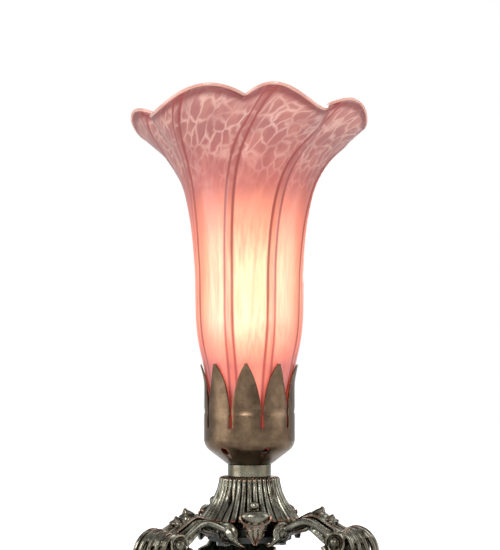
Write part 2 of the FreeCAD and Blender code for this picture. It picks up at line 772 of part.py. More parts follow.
def petal_cup():
    """Spun sheet: a bowl that the slots open into petals."""
    outside, inside = cup_side("0"), cup_side("cup_wall")
    last = len(outside) - 1
    first_slotted = SHOULDER_ROWS + 1
    faces = [flat_face(*[point for petal in side[0] for point in petal[:-1]]) for side in (outside, inside)]
    for petal in range(int(size("petal_count"))):
        for row in range(last):
            for side in (outside, inside):
                low, high = side[row][petal], side[row + 1][petal]
                for i in range(COLUMNS_PER_PETAL):
                    faces += patch(low[i], low[i + 1], high[i + 1], high[i])
            if row >= first_slotted:
                for end in (0, -1):
                    faces += patch(outside[row][petal][end], inside[row][petal][end],
                                   inside[row + 1][petal][end], outside[row + 1][petal][end])
        tip_out, tip_in = outside[last][petal], inside[last][petal]
        for i in range(COLUMNS_PER_PETAL):
            faces += patch(tip_out[i], tip_out[i + 1], tip_in[i + 1], tip_in[i])
    cup = closed_solid(faces)
    return cup.cut([Part.makeCylinder(size(pipe_hole), size("cup_height"), vector(0, 0, size(cup_floor))), *vents()])


def vents():
    """Cutters for the vent holes in the bowl."""
    centre = vector(0, 0, size(f"{cup_floor} + vent_height"))
    count = int(size("vent_count"))
    ways = [polar(1, math.radians(VENT_START + 360 * i / count), 0) for i in range(count)]
    return [Part.makeCylinder(size("vent_radius"), size("cup_radius"), centre, way) for way in ways]


# ---- lamp holder ----


def socket_bracket():
    """A steel strap bent up on both sides of the lamp holder."""
    body = new_body("socket_bracket")
    sketch = new_sketch(body, "XZ_Plane", "bracket_side")
    outer = "(holder_flat + bracket_thickness)"
    arm_top = f"({bracket_bottom} + bracket_arm)"
    corners = [
        (f"-{outer}", bracket_bottom),
        (outer, bracket_bottom),
        (outer, arm_top),
        ("holder_flat", arm_top),
        ("holder_flat", holder_bottom),
        ("-holder_flat", holder_bottom),
        ("-holder_flat", arm_top),
        (f"-{outer}", arm_top),
    ]
    draw_outline(sketch, corners)
    pad = body.newObject("PartDesign::Pad", "bracket_strap")
    pad.Profile = sketch
    pad.Midplane = True
    bind(pad, "Length", "bracket_width")
    document.recompute()
    hole_sketch = new_sketch(body, "XY_Plane", "bracket_hole_sketch")
    draw_circle(hole_sketch, pipe_hole)
    pocket_through(body, hole_sketch, "bracket_hole", reverse=True)


def socket_body():
    """Moulded holder with two flats, a recess below and the lamp's cavity above."""
    recess_top = f"({holder_bottom} + holder_recess_depth)"
    top = f"({holder_bottom} + holder_height)"
    section = [
        ("holder_recess_radius", holder_bottom),
        ("holder_radius", holder_bottom),
        ("holder_radius", top),
        (cavity_radius, top),
        (cavity_radius, cavity_bottom),
        ("0", cavity_bottom),
        ("0", recess_top),
        ("holder_recess_radius", recess_top),
    ]
    body = turned("socket_body", section)
    sketch = new_sketch(body, "XZ_Plane", "holder_flat_sketch")
    flat_top = f"({bracket_bottom} + bracket_arm + seat_gap)"
    beyond = "(holder_radius + 1)"
    corners = [
        ("holder_flat", holder_bottom),
        (beyond, holder_bottom),
        (beyond, flat_top),
        ("holder_flat", flat_top),
    ]
    draw_outline(sketch, corners)
    flat = pocket_through(body, sketch, "holder_flat_cut", midplane=True)
    pattern_round(body, flat, "holder_flats", "2")


def terminal_screws():
    """Two screw heads that stand out of the holder, square to the flats."""
    height = size(f"{holder_bottom} + terminal_level")
    start = size("holder_radius") - 1
    holder = Part.makeCylinder(size("holder_radius") + SKIN_GAP, size(holder_bottom) + size("holder_height"))
    screws = []
    for side in (-1, 1):
        out = vector(0, side, 0)
        seat = out * start + vector(0, 0, height)
        head = Part.makeCylinder(size("terminal_radius"), size("terminal_height") + 1, seat, out)
        screws.append(head.cut(holder))
    return Part.makeCompound(screws)


# ---- lamp bulb ----


def envelope_line(inset):
    """Radius and height up the torpedo, from the cap to the tip."""
    neck = size("cap_radius - cap_wall - shell_gap / 2") - inset
    widest = size("envelope_radius") - inset
    base = size(cap_top)
    belly = size("envelope_belly")
    rest = size("envelope_height") - belly - inset
    steps = [i / 4 for i in range(5)]
    lower = [(neck + (widest - neck) * math.sin(s * math.pi / 2) ** 1.3, base + belly * s) for s in steps]
    upper = [(widest * math.cos(s * math.pi / 2) ** 0.8, base + belly + rest * s) for s in steps[1:4]]
    return lower + upper + [(widest * 0.22, base + belly + rest * 0.95), (widest * 0.08, base + belly + rest)]


def bulb_envelope():
    """Torpedo of thin glass, open below where it stands in the cap."""
    low = size(f"{cap_top} - cap_height / 2")
    outside, inside = envelope_line(0), envelope_line(size("envelope_wall"))
    loops = [facet_ring(radius, height) for radius, height in [(outside[0][0], low), *outside]]
    hollow = [facet_ring(radius, height) for radius, height in [(inside[0][0], low), *inside]]
    caps = [flat_face(*loops[-1]), flat_face(*hollow[-1])]
    return closed_solid(skin(loops) + skin(hollow) + skin([loops[0], hollow[0]]) + caps)


def bulb_screw_base():
    inner = "(cap_radius - cap_wall)"
    section = [
        ("button_radius + shell_gap", cap_bottom),
        ("cap_radius", cap_bottom),
        ("cap_radius", cap_top),
        (inner, cap_top),
        (inner, f"{cap_bottom} + cap_wall"),
        ("button_radius + shell_gap", f"{cap_bottom} + cap_wall"),
    ]
    turned("bulb_screw_base", section)


def bulb_base_insulator():
    section = [
        ("button_radius + 0.05", f"{cap_bottom} - insulator_height"),
        ("button_radius + 1", f"{cap_bottom} - insulator_height"),
        ("cap_radius * 0.8", cap_bottom),
        ("button_radius + 0.05", cap_bottom),
    ]
    turned("bulb_base_insulator", section)


def bulb_centre_contact():
    section = [
        ("0", button_bottom),
        ("button_radius", button_bottom),
        ("button_radius", f"{cap_bottom} + cap_wall"),
        ("0", f"{cap_bottom} + cap_wall"),
    ]
    turned("bulb_centre_contact", section)


def bulb_stem():
    """Glass stem with a flared foot in the bulb's neck."""
    flare = "(cap_radius - cap_wall - shell_gap - envelope_wall)"
    foot = f"({cap_top} - cap_height / 2)"
    section = [
        ("0", foot),
        (flare, foot),
        (flare, f"{foot} + 1"),
        ("stem_radius", f"{foot} + 5"),
        ("stem_radius", f"{cap_top} + stem_height"),
        ("0", f"{cap_top} + stem_height"),
    ]
    turned("bulb_stem", section)


def bulb_lead_wires():
    """Two wires from the stem's head out to the ends of the filament."""
    foot_z = size(f"{cap_top} + stem_height") + SKIN_GAP + size("lead_radius") / 2
    top_z = size(f"{cap_top} + filament_height")
    wires = []
    for side in (-1, 1):
        foot = vector(side * size("stem_radius") / 2, 0, foot_z)
        top = vector(side * size("filament_span") / 2, 0, top_z - size("filament_radius"))
        rise = top - foot
        wires.append(Part.makeCylinder(size("lead_radius"), rise.Length, foot, rise))
    return Part.makeCompound(wires)


def bulb_filament():
    filament = document.addObject("Part::Cylinder", "bulb_filament")
    bind(filament, "Radius", "filament_radius")
    bind(filament, "Height", "filament_span + 2 * lead_radius")
    bind(filament, "Placement.Base.x", "-filament_span / 2 - lead_radius")
    bind(filament, "Placement.Base.z", f"{cap_top} + filament_height + filament_radius + lead_radius / 2")
    filament.Placement.Rotation = FreeCAD.Rotation(vector(0, 1, 0), 90)
    keep(filament, "bulb_filament")


# ---- blown glass shade ----


def shade_seat():
    """Height at which the shade's lower end meets the cone inside the bowl."""
    top_reach, top_height = [size(text) for text in shoulder_point("bowl_slope", "cup_wall")]
    low_reach, low_height = size("cup_floor_radius - cup_wall / 2"), size(cup_inside)
    share = (size("fitter_radius") - low_reach) / (top_reach - low_reach)
    return low_height + share * (top_height - low_height) + size("seat_gap")


def shade_profile():
    """Radius and height up the middle of the glass, from the fitter to the rim."""
    tips = size(petal_tips)
    seat = shade_seat()
    keys = [
        (size("fitter_radius"), seat),
        (size("fitter_radius"), seat + 10),
        (size("cup_radius - cup_wall - calyx_gap"), tips - size("petal_flare_height")),
        (size("cup_radius + petal_flare - cup_wall - calyx_gap"), tips),
        (size("stem_bell_radius"), tips + size("stem_bell_rise")),
        (size("throat_radius"), tips + size("throat_rise")),
        (size("bell_radius"), tips + size("bell_rise")),
        (size("flare_radius"), tips + size("flare_rise")),
        (size("rim_radius"), tips + size("rim_rise")),
    ]
    curve = curve_through([vector(radius, 0, height) for radius, height in keys])
    points = [spot for spot, _ in along(curve, SHADE_ROWS)]
    return [(spot.x, spot.z) for spot in points]


def ruffle(angle):
    """How far the rim reaches out past its dips and how far it rises, at an angle in degrees."""
    first = RIM_DIPS[0][0]
    turned = (angle - first) % 360 + first
    for (start, lean), (stop, _) in zip(RIM_DIPS, [*RIM_DIPS[1:], (first + 360, 0)]):
        if turned < stop:
            break
    share = (turned - start) / (stop - start)
    swell = math.sin(math.pi * share) ** LOBE_FULLNESS
    rise = size("lobe_lean") * lean * math.sin(2 * math.pi * share) - size("lobe_droop") * swell ** 2
    return size("lobe_reach") * swell, rise


def shade_loop(radius, height, share, inset, ribbed):
    """One loop round the glass. Towards the rim it swirls and spreads in uneven lobes."""
    count = int(size("rib_count")) * COLUMNS_PER_RIB
    late = max(0, (share - SWIRL_START) / (1 - SWIRL_START))
    turn = RIB_START + size("rib_swirl") * late ** 3
    opening = max(0, (share - RUFFLE_START) / (1 - RUFFLE_START)) ** 2
    clear = max(0, min(1, (height - size(petal_tips)) / size("stem_bell_rise") * 3))
    loop = []
    for i in range(count):
        angle = turn + 360 * i / count
        reach, rise = ruffle(angle)
        rib = size("rib_height") * clear if ribbed and i % COLUMNS_PER_RIB == 0 else 0
        spread = radius - inset + rib + opening * reach
        loop.append(polar(spread, math.radians(angle), height + opening * rise))
    return loop


def glass_shade():
    rows = [(radius, height, i / (SHADE_ROWS - 1)) for i, (radius, height) in enumerate(shade_profile())]
    outside = [shade_loop(*row, 0, True) for row in rows]
    inside = [shade_loop(*row, size("glass_wall"), False) for row in rows]
    ends = skin([outside[0], inside[0]]) + skin([outside[-1], inside[-1]])
    return closed_solid(skin(outside) + skin(inside) + ends)


# ---- the whole lamp ----

leg = scroll_leg()
for side, angle in LEG_ANGLES.items():
    cast(side + "_scroll_leg", leg, angle)
    foot_pad(side, angle)
leg_hub()
cast("leg_screws", leg_screws())

ring("threaded_pipe", "pipe_bore", "pipe_radius", pipe_bottom, pipe_top)
ring("lower_washer", pipe_hole, "washer_radius", f"{web_bottom} - washer_height", web_bottom)
lock_nut("lower_lock_nut", lower_nut_bottom)
ring("cup_washer", pipe_hole, "washer_radius", cup_inside, f"{cup_inside} + washer_height")
lock_nut("cup_lock_nut", upper_nut_bottom)
cord_bushing()

cast("fluted_neck", fluted_neck())
neck_collar()
cast("petal_cup", petal_cup())

socket_bracket()
socket_body()
ring("socket_screw_shell", shell_inside, shell_outside, f"{contact_top} + shell_gap",
     f"{holder_bottom} + holder_height - shell_gap")
ring("socket_centre_contact", "contact_spring_radius / 4", "contact_spring_radius", cavity_bottom, contact_top)
cast("terminal_screws", terminal_screws())

cast("bulb_envelope", bulb_envelope())
bulb_screw_base()
bulb_base_insulator()
bulb_centre_contact()
bulb_stem()
cast("bulb_lead_wires", bulb_lead_wires())
bulb_filament()
cast("glass_shade", glass_shade())

document.recompute()
for thing in document.Objects:
    if "Invalid" in thing.State or "Error" in thing.State:
        raise ValueError(f"{thing.Label} failed: {thing.State}")
for piece in subparts:
    if piece.Shape.isNull() or not piece.Shape.isValid():
        raise ValueError(f"{piece.Label} has no valid shape")
for piece in subparts:
    piece.Shape.exportStep(f"parts/{piece.Label}.step")
print(len(subparts), "pieces written")
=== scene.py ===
import json
import math

import bpy
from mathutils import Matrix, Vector


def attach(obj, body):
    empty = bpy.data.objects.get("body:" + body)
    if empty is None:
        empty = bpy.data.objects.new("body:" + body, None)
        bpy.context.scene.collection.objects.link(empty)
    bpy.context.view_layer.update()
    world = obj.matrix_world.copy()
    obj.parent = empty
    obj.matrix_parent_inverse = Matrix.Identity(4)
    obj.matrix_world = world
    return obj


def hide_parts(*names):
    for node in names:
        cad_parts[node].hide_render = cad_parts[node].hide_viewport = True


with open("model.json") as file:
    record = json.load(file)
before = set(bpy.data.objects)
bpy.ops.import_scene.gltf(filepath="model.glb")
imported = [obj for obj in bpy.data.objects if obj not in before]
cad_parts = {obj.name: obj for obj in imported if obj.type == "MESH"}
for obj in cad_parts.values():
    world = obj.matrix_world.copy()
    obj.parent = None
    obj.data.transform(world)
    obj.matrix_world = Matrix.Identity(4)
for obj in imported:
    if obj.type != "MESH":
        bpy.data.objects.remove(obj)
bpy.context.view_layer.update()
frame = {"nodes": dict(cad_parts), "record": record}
mm = 0.001

view = {"distance": 0.638, "height": 0.1475, "tiltUp": 5.7, "lens": 75.0, "aside": 0.0003,
        "sensor": 36, "near": 0.01}


def placeCamera():
    bpy.ops.object.camera_add(location=(view["aside"], -view["distance"], view["height"]),
                              rotation=(math.radians(90 + view["tiltUp"]), 0, 0))
    camera = bpy.context.object
    camera.name = "photoCamera"
    camera.data.sensor_fit = "VERTICAL"
    camera.data.sensor_height = view["sensor"]
    camera.data.lens = view["lens"]
    camera.data.clip_start = view["near"]
    bpy.context.scene.camera = camera


placeCamera()
bpy.context.scene.view_settings.view_transform = "Standard"

studio = {
    "lamps": {
        "front": {"place": (-0.25, -1.3, 0.65), "size": 0.35, "power": 9},
        "left": {"place": (-1.1, -0.35, 0.45), "size": 0.9, "power": 8},
        "right": {"place": (1.1, -0.2, 0.55), "size": 0.9, "power": 7},
        "top": {"place": (0.0, 0.2, 1.4), "size": 1.0, "power": 6},
        "back": {"place": (0.3, 1.2, 0.7), "size": 0.8, "power": 5},
    },
    "target": (0, 0, 0.15), "worldTone": (0.95, 0.97, 1.0, 1), "worldLevel": 0.55,
    "white": (1, 1, 1, 1), "floorSize": 6, "floorPlace": (0, 1.2, 0), "floorLift": 0.4,
    "floorGlow": 1.95, "floorDull": (0.84, 0.84, 0.83, 1), "floorPale": (0.88, 0.88, 0.87, 1),
}


def addLamps():
    for name, lamp in studio["lamps"].items():
        bpy.ops.object.light_add(type="AREA", location=lamp["place"])
        light = bpy.context.object
        light.name = name + "Lamp"
        light.data.size = lamp["size"]
        light.data.energy = lamp["power"]
        way = Vector(studio["target"]) - light.location
        light.rotation_euler = way.to_track_quat("-Z", "Y").to_euler()


addLamps()


# the screen's colour value, 0 to 255, as Blender's linear colour
def colour(red, green, blue):
    parts = [channel / 255 for channel in (red, green, blue)]
    return tuple(p / 12.92 if p <= 0.04045 else ((p + 0.055) / 1.055) ** 2.4
                 for p in parts) + (1.0,)


def newMaterial(name):
    made = bpy.data.materials.new(name)
    made.use_nodes = True
    return made, made.node_tree, made.node_tree.nodes["Principled BSDF"]


def addNode(tree, kind, **settings):
    made = tree.nodes.new(kind)
    for name, value in settings.items():
        setattr(made, name, value)
    return made


# a number or colour is set on the socket, and another node's output is linked to it
def feed(tree, value, socket):
    if isinstance(value, (int, float, tuple)):
        socket.default_value = value
    else:
        tree.links.new(value, socket)


def addMath(tree, operation, first, second):
    made = addNode(tree, "ShaderNodeMath", operation=operation)
    feed(tree, first, made.inputs[0])
    feed(tree, second, made.inputs[1])
    return made.outputs[0]


def addMix(tree, factor, first, second):
    made = addNode(tree, "ShaderNodeMix", data_type="RGBA")
    for socket, value in ((0, factor), (6, first), (7, second)):
        feed(tree, value, made.inputs[socket])
    return made.outputs[2]


# lays a tone over another where the mask is, by some amount of it
def addVeil(tree, mask, amount, under, tone):
    return addMix(tree, addMath(tree, "MULTIPLY", mask, amount), under, tone)


def addRamp(tree, factor, stops):
    made = addNode(tree, "ShaderNodeValToRGB")
    elements = made.color_ramp.elements
    while len(elements) < len(stops):
        elements.new(0.5)
    for element, (place, value) in zip(elements, stops):
        element.position = place
        element.color = value if isinstance(value, tuple) else (value, value, value, 1)
    feed(tree, factor, made.inputs[0])
    return made.outputs[0]


def addRange(tree, value, low, high, atLow, atHigh):
    made = addNode(tree, "ShaderNodeMapRange")
    for socket, given in zip(made.inputs, (value, low, high, atLow, atHigh)):
        feed(tree, given, socket)
    return made.outputs[0]


def addNoise(tree, vector, scale, detail=4, rough=0.5):
    made = addNode(tree, "ShaderNodeTexNoise")
    for name, value in (("Vector", vector), ("Scale", scale), ("Detail", detail),
                        ("Roughness", rough)):
        feed(tree, value, made.inputs[name])
    return made.outputs["Fac"]


def addMapping(tree, vector, scale):
    made = addNode(tree, "ShaderNodeMapping")
    made.inputs["Scale"].default_value = scale
    feed(tree, vector, made.inputs["Vector"])
    return made.outputs[0]


def addBump(tree, shader, height, strength, distance):
    made = addNode(tree, "ShaderNodeBump")
    made.inputs["Strength"].default_value = strength
    made.inputs["Distance"].default_value = distance
    feed(tree, height, made.inputs["Height"])
    feed(tree, made.outputs[0], shader.inputs["Normal"])


def objectPlace(tree):
    return addNode(tree, "ShaderNodeTexCoord").outputs["Object"]


def newGroup(name, takes, gives):
    tree = bpy.data.node_groups.new(name, "ShaderNodeTree")
    for way, sockets in (("INPUT", takes), ("OUTPUT", gives)):
        for label, kind in sockets.items():
            tree.interface.new_socket(label, in_out=way, socket_type="NodeSocket" + kind)
    return tree, addNode(tree, "NodeGroupInput").outputs, addNode(tree, "NodeGroupOutput").inputs


def useGroup(tree, group, **values):
    made = addNode(tree, "ShaderNodeGroup", node_tree=group)
    for name, value in values.items():
        feed(tree, value, made.inputs[name])
    return made.outputs


# two tones that drift into each other in soft clouds
def makeCloudTone():
    tree, given, result = newGroup(
        "cloudTone", {"Scale": "Float", "Detail": "Float", "Roughness": "Float", "Low": "Float",
                      "High": "Float", "First": "Color", "Second": "Color"}, {"Tone": "Color"})
    cloud = addNoise(tree, objectPlace(tree), given["Scale"], given["Detail"], given["Roughness"])
    mask = addRange(tree, cloud, given["Low"], given["High"], 0.0, 1.0)
    feed(tree, addMix(tree, mask, given["First"], given["Second"]), result["Tone"])
    return tree


# fine grain, and the roughness that goes with it
def makeFineGrain():
    tree, given, result = newGroup(
        "fineGrain", {"Scale": "Float", "Detail": "Float", "Smoothest": "Float",
                      "Roughest": "Float"}, {"Grain": "Float", "Roughness": "Float"})
    grain = addNoise(tree, objectPlace(tree), given["Scale"], given["Detail"])
    rough = addRange(tree, grain, 0.2, 0.8, given["Smoothest"], given["Roughest"])
    feed(tree, grain, result["Grain"])
    feed(tree, rough, result["Roughness"])
    return tree


cloudTone, fineGrain = makeCloudTone(), makeFineGrain()


def clouded(tree, scale, detail, first, second, rough=0.5, low=0.0, high=1.0):
    return useGroup(tree, cloudTone, Scale=scale, Detail=detail, Roughness=rough, Low=low,
                    High=high, First=first, Second=second)["Tone"]


def layGround():
    bpy.ops.mesh.primitive_plane_add(size=studio["floorSize"], location=studio["floorPlace"])
    ground = bpy.context.object
    ground.name = "paleFloor"
    made, tree, shader = newMaterial("paleStudio")
    tone = clouded(tree, 30, 3, studio["floorDull"], studio["floorPale"])
    feed(tree, tone, shader.inputs["Base Color"])
    shader.inputs["Roughness"].default_value = 0.8
    # the camera sees the floor lifted to white where no shadow falls
    white = addNode(tree, "ShaderNodeEmission")
    white.inputs["Strength"].default_value = studio["floorGlow"]
    path = addNode(tree, "ShaderNodeLightPath")
    seen = addMath(tree, "MULTIPLY", path.outputs["Is Camera Ray"], studio["floorLift"])
    lifted = addNode(tree, "ShaderNodeMixShader")
    for socket, value in zip(lifted.inputs, (seen, shader.outputs[0], white.outputs[0])):
        feed(tree, value, socket)
    feed(tree, lifted.outputs[0], tree.nodes["Material Output"].inputs["Surface"])
    ground.data.materials.append(made)


layGround()


def lightWorld():
    world = bpy.data.worlds.new("paleWorld")
    bpy.context.scene.world = world
    world.use_nodes = True
    tree = world.node_tree
    plain = tree.nodes["Background"]
    plain.inputs["Color"].default_value = studio["worldTone"]
    plain.inputs["Strength"].default_value = studio["worldLevel"]
    white = addNode(tree, "ShaderNodeBackground")
    white.inputs["Color"].default_value = studio["white"]
    white.inputs["Strength"].default_value = 1.0
    path = addNode(tree, "ShaderNodeLightPath").outputs
    seen = addMath(tree, "MAXIMUM", path["Is Camera Ray"], path["Is Transmission Ray"])
    blend = addNode(tree, "ShaderNodeMixShader")
    for socket, value in zip(blend.inputs, (seen, plain.outputs[0], white.outputs[0])):
        feed(tree, value, socket)
    feed(tree, blend.outputs[0], tree.nodes["World Output"].inputs["Surface"])


lightWorld()
print("camera, lamps and ground are placed")


def clearSelection():
    if bpy.context.object and bpy.context.object.mode != "OBJECT":
        bpy.ops.object.mode_set(mode="OBJECT")
    bpy.ops.object.select_all(action="DESELECT")


def useOnly(piece):
    clearSelection()
    piece.select_set(True)
    bpy.context.view_layer.objects.active = piece


def applyModifier(piece, kind, **settings):
    useOnly(piece)
    added = piece.modifiers.new(kind.lower(), kind)
    for name, value in settings.items():
        setattr(added, name, value)
    bpy.ops.object.modifier_apply(modifier=added.name)


def raiseRings(name, sides, rings):
    clearSelection()
    radius, height = rings[0]
    bpy.ops.mesh.primitive_circle_add(vertices=sides, radius=radius, location=(0, 0, height))
    piece = bpy.context.object
    piece.name = name
    bpy.ops.object.transform_apply(location=True)
    bpy.ops.object.mode_set(mode="EDIT")
    bpy.ops.mesh.select_all(action="SELECT")
    for radiusNow, heightNow in rings[1:]:
        step = {"value": (0, 0, heightNow - height)}
        bpy.ops.mesh.extrude_region_move(TRANSFORM_OT_translate=step)
        grow = radiusNow / radius
        bpy.ops.transform.resize(value=(grow, grow, 1))
        radius, height = radiusNow, heightNow
    bpy.ops.object.mode_set(mode="OBJECT")
    return piece


def tidyNormals(piece):
    useOnly(piece)
    bpy.ops.object.mode_set(mode="EDIT")
    bpy.ops.mesh.select_all(action="SELECT")
    bpy.ops.mesh.remove_doubles(threshold=0.01 * mm)
    bpy.ops.mesh.normals_make_consistent(inside=False)
    bpy.ops.object.mode_set(mode="OBJECT")
    # an open sheet can come out inside out as a whole
    outward = sum(face.area * (face.normal.x * face.center.x + face.normal.y * face.center.y)
                  for face in piece.data.polygons)
    if outward < 0:
        bpy.ops.object.mode_set(mode="EDIT")
        bpy.ops.mesh.flip_normals()
        bpy.ops.object.mode_set(mode="OBJECT")


def coverWith(piece, material):
    piece.data.materials.clear()
    piece.data.materials.append(material)


def wear(piece, body, slot, *nodes):
    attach(piece, body)
    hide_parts(*nodes)


def joinAll(name, pieces):
    clearSelection()
    for piece in pieces:
        piece.select_set(True)
    bpy.context.view_layer.objects.active = pieces[0]
    bpy.ops.object.join()
    pieces[0].name = name
    bpy.ops.object.transform_apply(location=True, rotation=True, scale=True)
    return pieces[0]


# a round tube along points in mm, with its radius in mm at each of them
def sweptTube(name, points, radii, cyclic=False):
    clearSelection()
    bpy.ops.curve.primitive_nurbs_path_add()
    piece = bpy.context.object
    piece.name = name
    piece.data.splines.clear()
    line = piece.data.splines.new("NURBS")
    line.points.add(len(points) - 1)
    for spot, place, radius in zip(line.points, points, radii):
        spot.co = (place[0] * mm, place[1] * mm, place[2] * mm, 1)
        spot.radius = radius
    line.order_u = 3
    line.use_cyclic_u = cyclic
    line.use_endpoint_u = not cyclic
    piece.data.bevel_depth = mm
    piece.data.bevel_resolution = 3
    piece.data.resolution_u = 3
    piece.data.use_fill_caps = True
    bpy.ops.object.convert(target="MESH")
    return bpy.context.object


# a grid whose points go where spotAt says, in mm: across is -1 to 1 and along is 0 to 1
def placedGrid(name, columns, rows, spotAt):
    clearSelection()
    bpy.ops.mesh.primitive_grid_add(x_subdivisions=columns, y_subdivisions=rows, size=2)
    piece = bpy.context.object
    piece.name = name
    for vertex in piece.data.vertices:
        x, y, z = spotAt(vertex.co.x, (vertex.co.y + 1) / 2)
        vertex.co = Vector((x, y, z)) * mm
    return piece


def oval(centre, half, turn=0.0):
    clearSelection()
    bpy.ops.mesh.primitive_uv_sphere_add(
        segments=32, ring_count=18, radius=1, location=[v * mm for v in centre],
        rotation=(0, 0, turn), scale=[v * mm for v in half])
    return bpy.context.object


def sideRoll(radius, half, centre):
    clearSelection()
    bpy.ops.mesh.primitive_cylinder_add(
        vertices=40, radius=radius * mm, depth=2 * half * mm,
        location=(centre[0] * mm, 0, centre[1] * mm), rotation=(math.pi / 2, 0, 0))
    return bpy.context.object


def copyRound(piece, angles):
    copies = []
    for angle in angles:
        useOnly(piece)
        bpy.ops.object.duplicate()
        copy = bpy.context.object
        # a positive value turns clockwise here
        bpy.ops.transform.rotate(value=-math.radians(angle), orient_axis="Z",
                                 center_override=(0, 0, 0))
        bpy.ops.object.transform_apply(location=True, rotation=True, scale=True)
        copies.append(copy)
    useOnly(piece)
    bpy.ops.object.delete()
    return copies


def smoothSteps(share):
    share = max(0.0, min(1.0, share))
    return share * share * (3 - 2 * share)


def between(stops, place):
    for (a, low), (b, high) in zip(stops, stops[1:]):
        if place <= b:
            share = max(0.0, (place - a) / (b - a))
            return low + (high - low) * share
    return stops[-1][1]


# sizes in mm and angles in degrees, as in every dictionary of a piece
shade = {
    "sides": 160, "rows": 54, "wall": 2.4, "lip": 0.9, "lipInset": 1.1, "lipRise": 0.2,
    "ribs": 8, "firstRib": 23, "ribHeight": 0.9, "ribHalfWidth": 2.6,
    "ribStart": 163, "ribFade": 12, "ribThins": 0.6,
    "swirl": 34, "swirlStart": 0.42, "swirlCurve": 3.2,
    "flareStart": 0.76, "flareCurve": 2.0, "length": 215,
    "profile": [(18.4, 114.8), (20.5, 116), (20.6, 126), (21.6, 140), (24.6, 156), (26.0, 163),
                (27.7, 170), (29.1, 178), (29.9, 187), (30.2, 200), (30.4, 212), (31.2, 222),
                (32.1, 232), (33.1, 240), (34.5, 248), (36.2, 256), (38.0, 262), (40.3, 268.5),
                (42.8, 274.5), (45.9, 280.5), (49.5, 286.5), (52.7, 292.5), (55.5, 298.6)],
    # each dip of the rim, and which way the lobe after it leans
    "dips": [(268, 1), (320, 1), (376, 1), (433, -1), (494, -1), (557, -1), (628, 0)],
    "dipRadius": 55.0, "dipHeight": 299.2, "lobeReach": 12.2, "lobeRound": 0.8,
    "lobeLean": 5.2, "lobeDroop": 0.6, "wideLobe": 494, "wideReach": 2.6,
}


def rimAt(azimuth):
    while azimuth < shade["dips"][0][0]:
        azimuth += 360
    for (start, lean), (stop, _) in zip(shade["dips"], shade["dips"][1:]):
        if azimuth <= stop:
            break
    share = (azimuth - start) / (stop - start)
    out = max(0.0, math.sin(math.pi * share)) ** shade["lobeRound"]
    wider = shade["wideReach"] * (start == shade["wideLobe"])
    reach = shade["dipRadius"] + (shade["lobeReach"] + wider) * out
    rise = shade["lobeLean"] * math.sin(2 * math.pi * share) * lean
    rise -= shade["lobeDroop"] * out * out
    return reach, shade["dipHeight"] + rise


def spreadRows(profile, count):
    lengths = [0.0]
    for (r0, z0), (r1, z1) in zip(profile, profile[1:]):
        lengths.append(lengths[-1] + math.hypot(r1 - r0, z1 - z0))
    radii = list(zip(lengths, [r for r, _ in profile]))
    heights = list(zip(lengths, [z for _, z in profile]))
    places = [lengths[-1] * i / (count - 1) for i in range(count)]
    return [(between(radii, place), between(heights, place)) for place in places]


def shapeShade():
    rows = spreadRows(shade["profile"], shade["rows"])
    piece = raiseRings("blownShade", shade["sides"], [(r * mm, z * mm) for r, z in rows])
    mesh = piece.data
    mesh.attributes.new("flow", "FLOAT_VECTOR", "POINT")
    mesh.attributes.new("ribShade", "FLOAT", "POINT")
    flow, ribShade = mesh.attributes["flow"], mesh.attributes["ribShade"]
    last = shade["rows"] - 1
    pitch = 360 / shade["ribs"]
    for vertex in mesh.vertices:
        x, y, z = [value / mm for value in vertex.co]
        radius = math.hypot(x, y)
        around = math.degrees(math.atan2(y, x)) % 360
        share = min(range(last + 1), key=lambda i: abs(rows[i][1] - z)) / last
        late = max(0.0, (share - shade["swirlStart"]) / (1 - shade["swirlStart"]))
        turned = around + shade["swirl"] * late ** shade["swirlCurve"]
        off = (around - shade["firstRib"] + pitch / 2) % pitch - pitch / 2
        arc = abs(math.radians(off) * radius)
        ridge = smoothSteps(1 - arc / shade["ribHalfWidth"])
        opening = max(0.0, (share - shade["flareStart"]) / (1 - shade["flareStart"]))
        opening **= shade["flareCurve"]
        rimRadius, rimHeight = rimAt(turned % 360)
        radiusNow = radius + opening * (rimRadius - rows[-1][0])
        heightNow = z + opening * (rimHeight - rows[-1][1])
        fade = smoothSteps((z - shade["ribStart"]) / shade["ribFade"])
        radiusNow += ridge * shade["ribHeight"] * fade * (1 - shade["ribThins"] * opening)
        angle, plain = math.radians(turned), math.radians(around)
        vertex.co = Vector((radiusNow * math.cos(angle), radiusNow * math.sin(angle),
                            heightNow)) * mm
        # the glass pattern is laid out on the straight tube and swirls along with it
        flow.data[vertex.index].vector = (radius * math.cos(plain), radius * math.sin(plain),
                                          share * shade["length"])
        ribShade.data[vertex.index].value = arc
    return piece


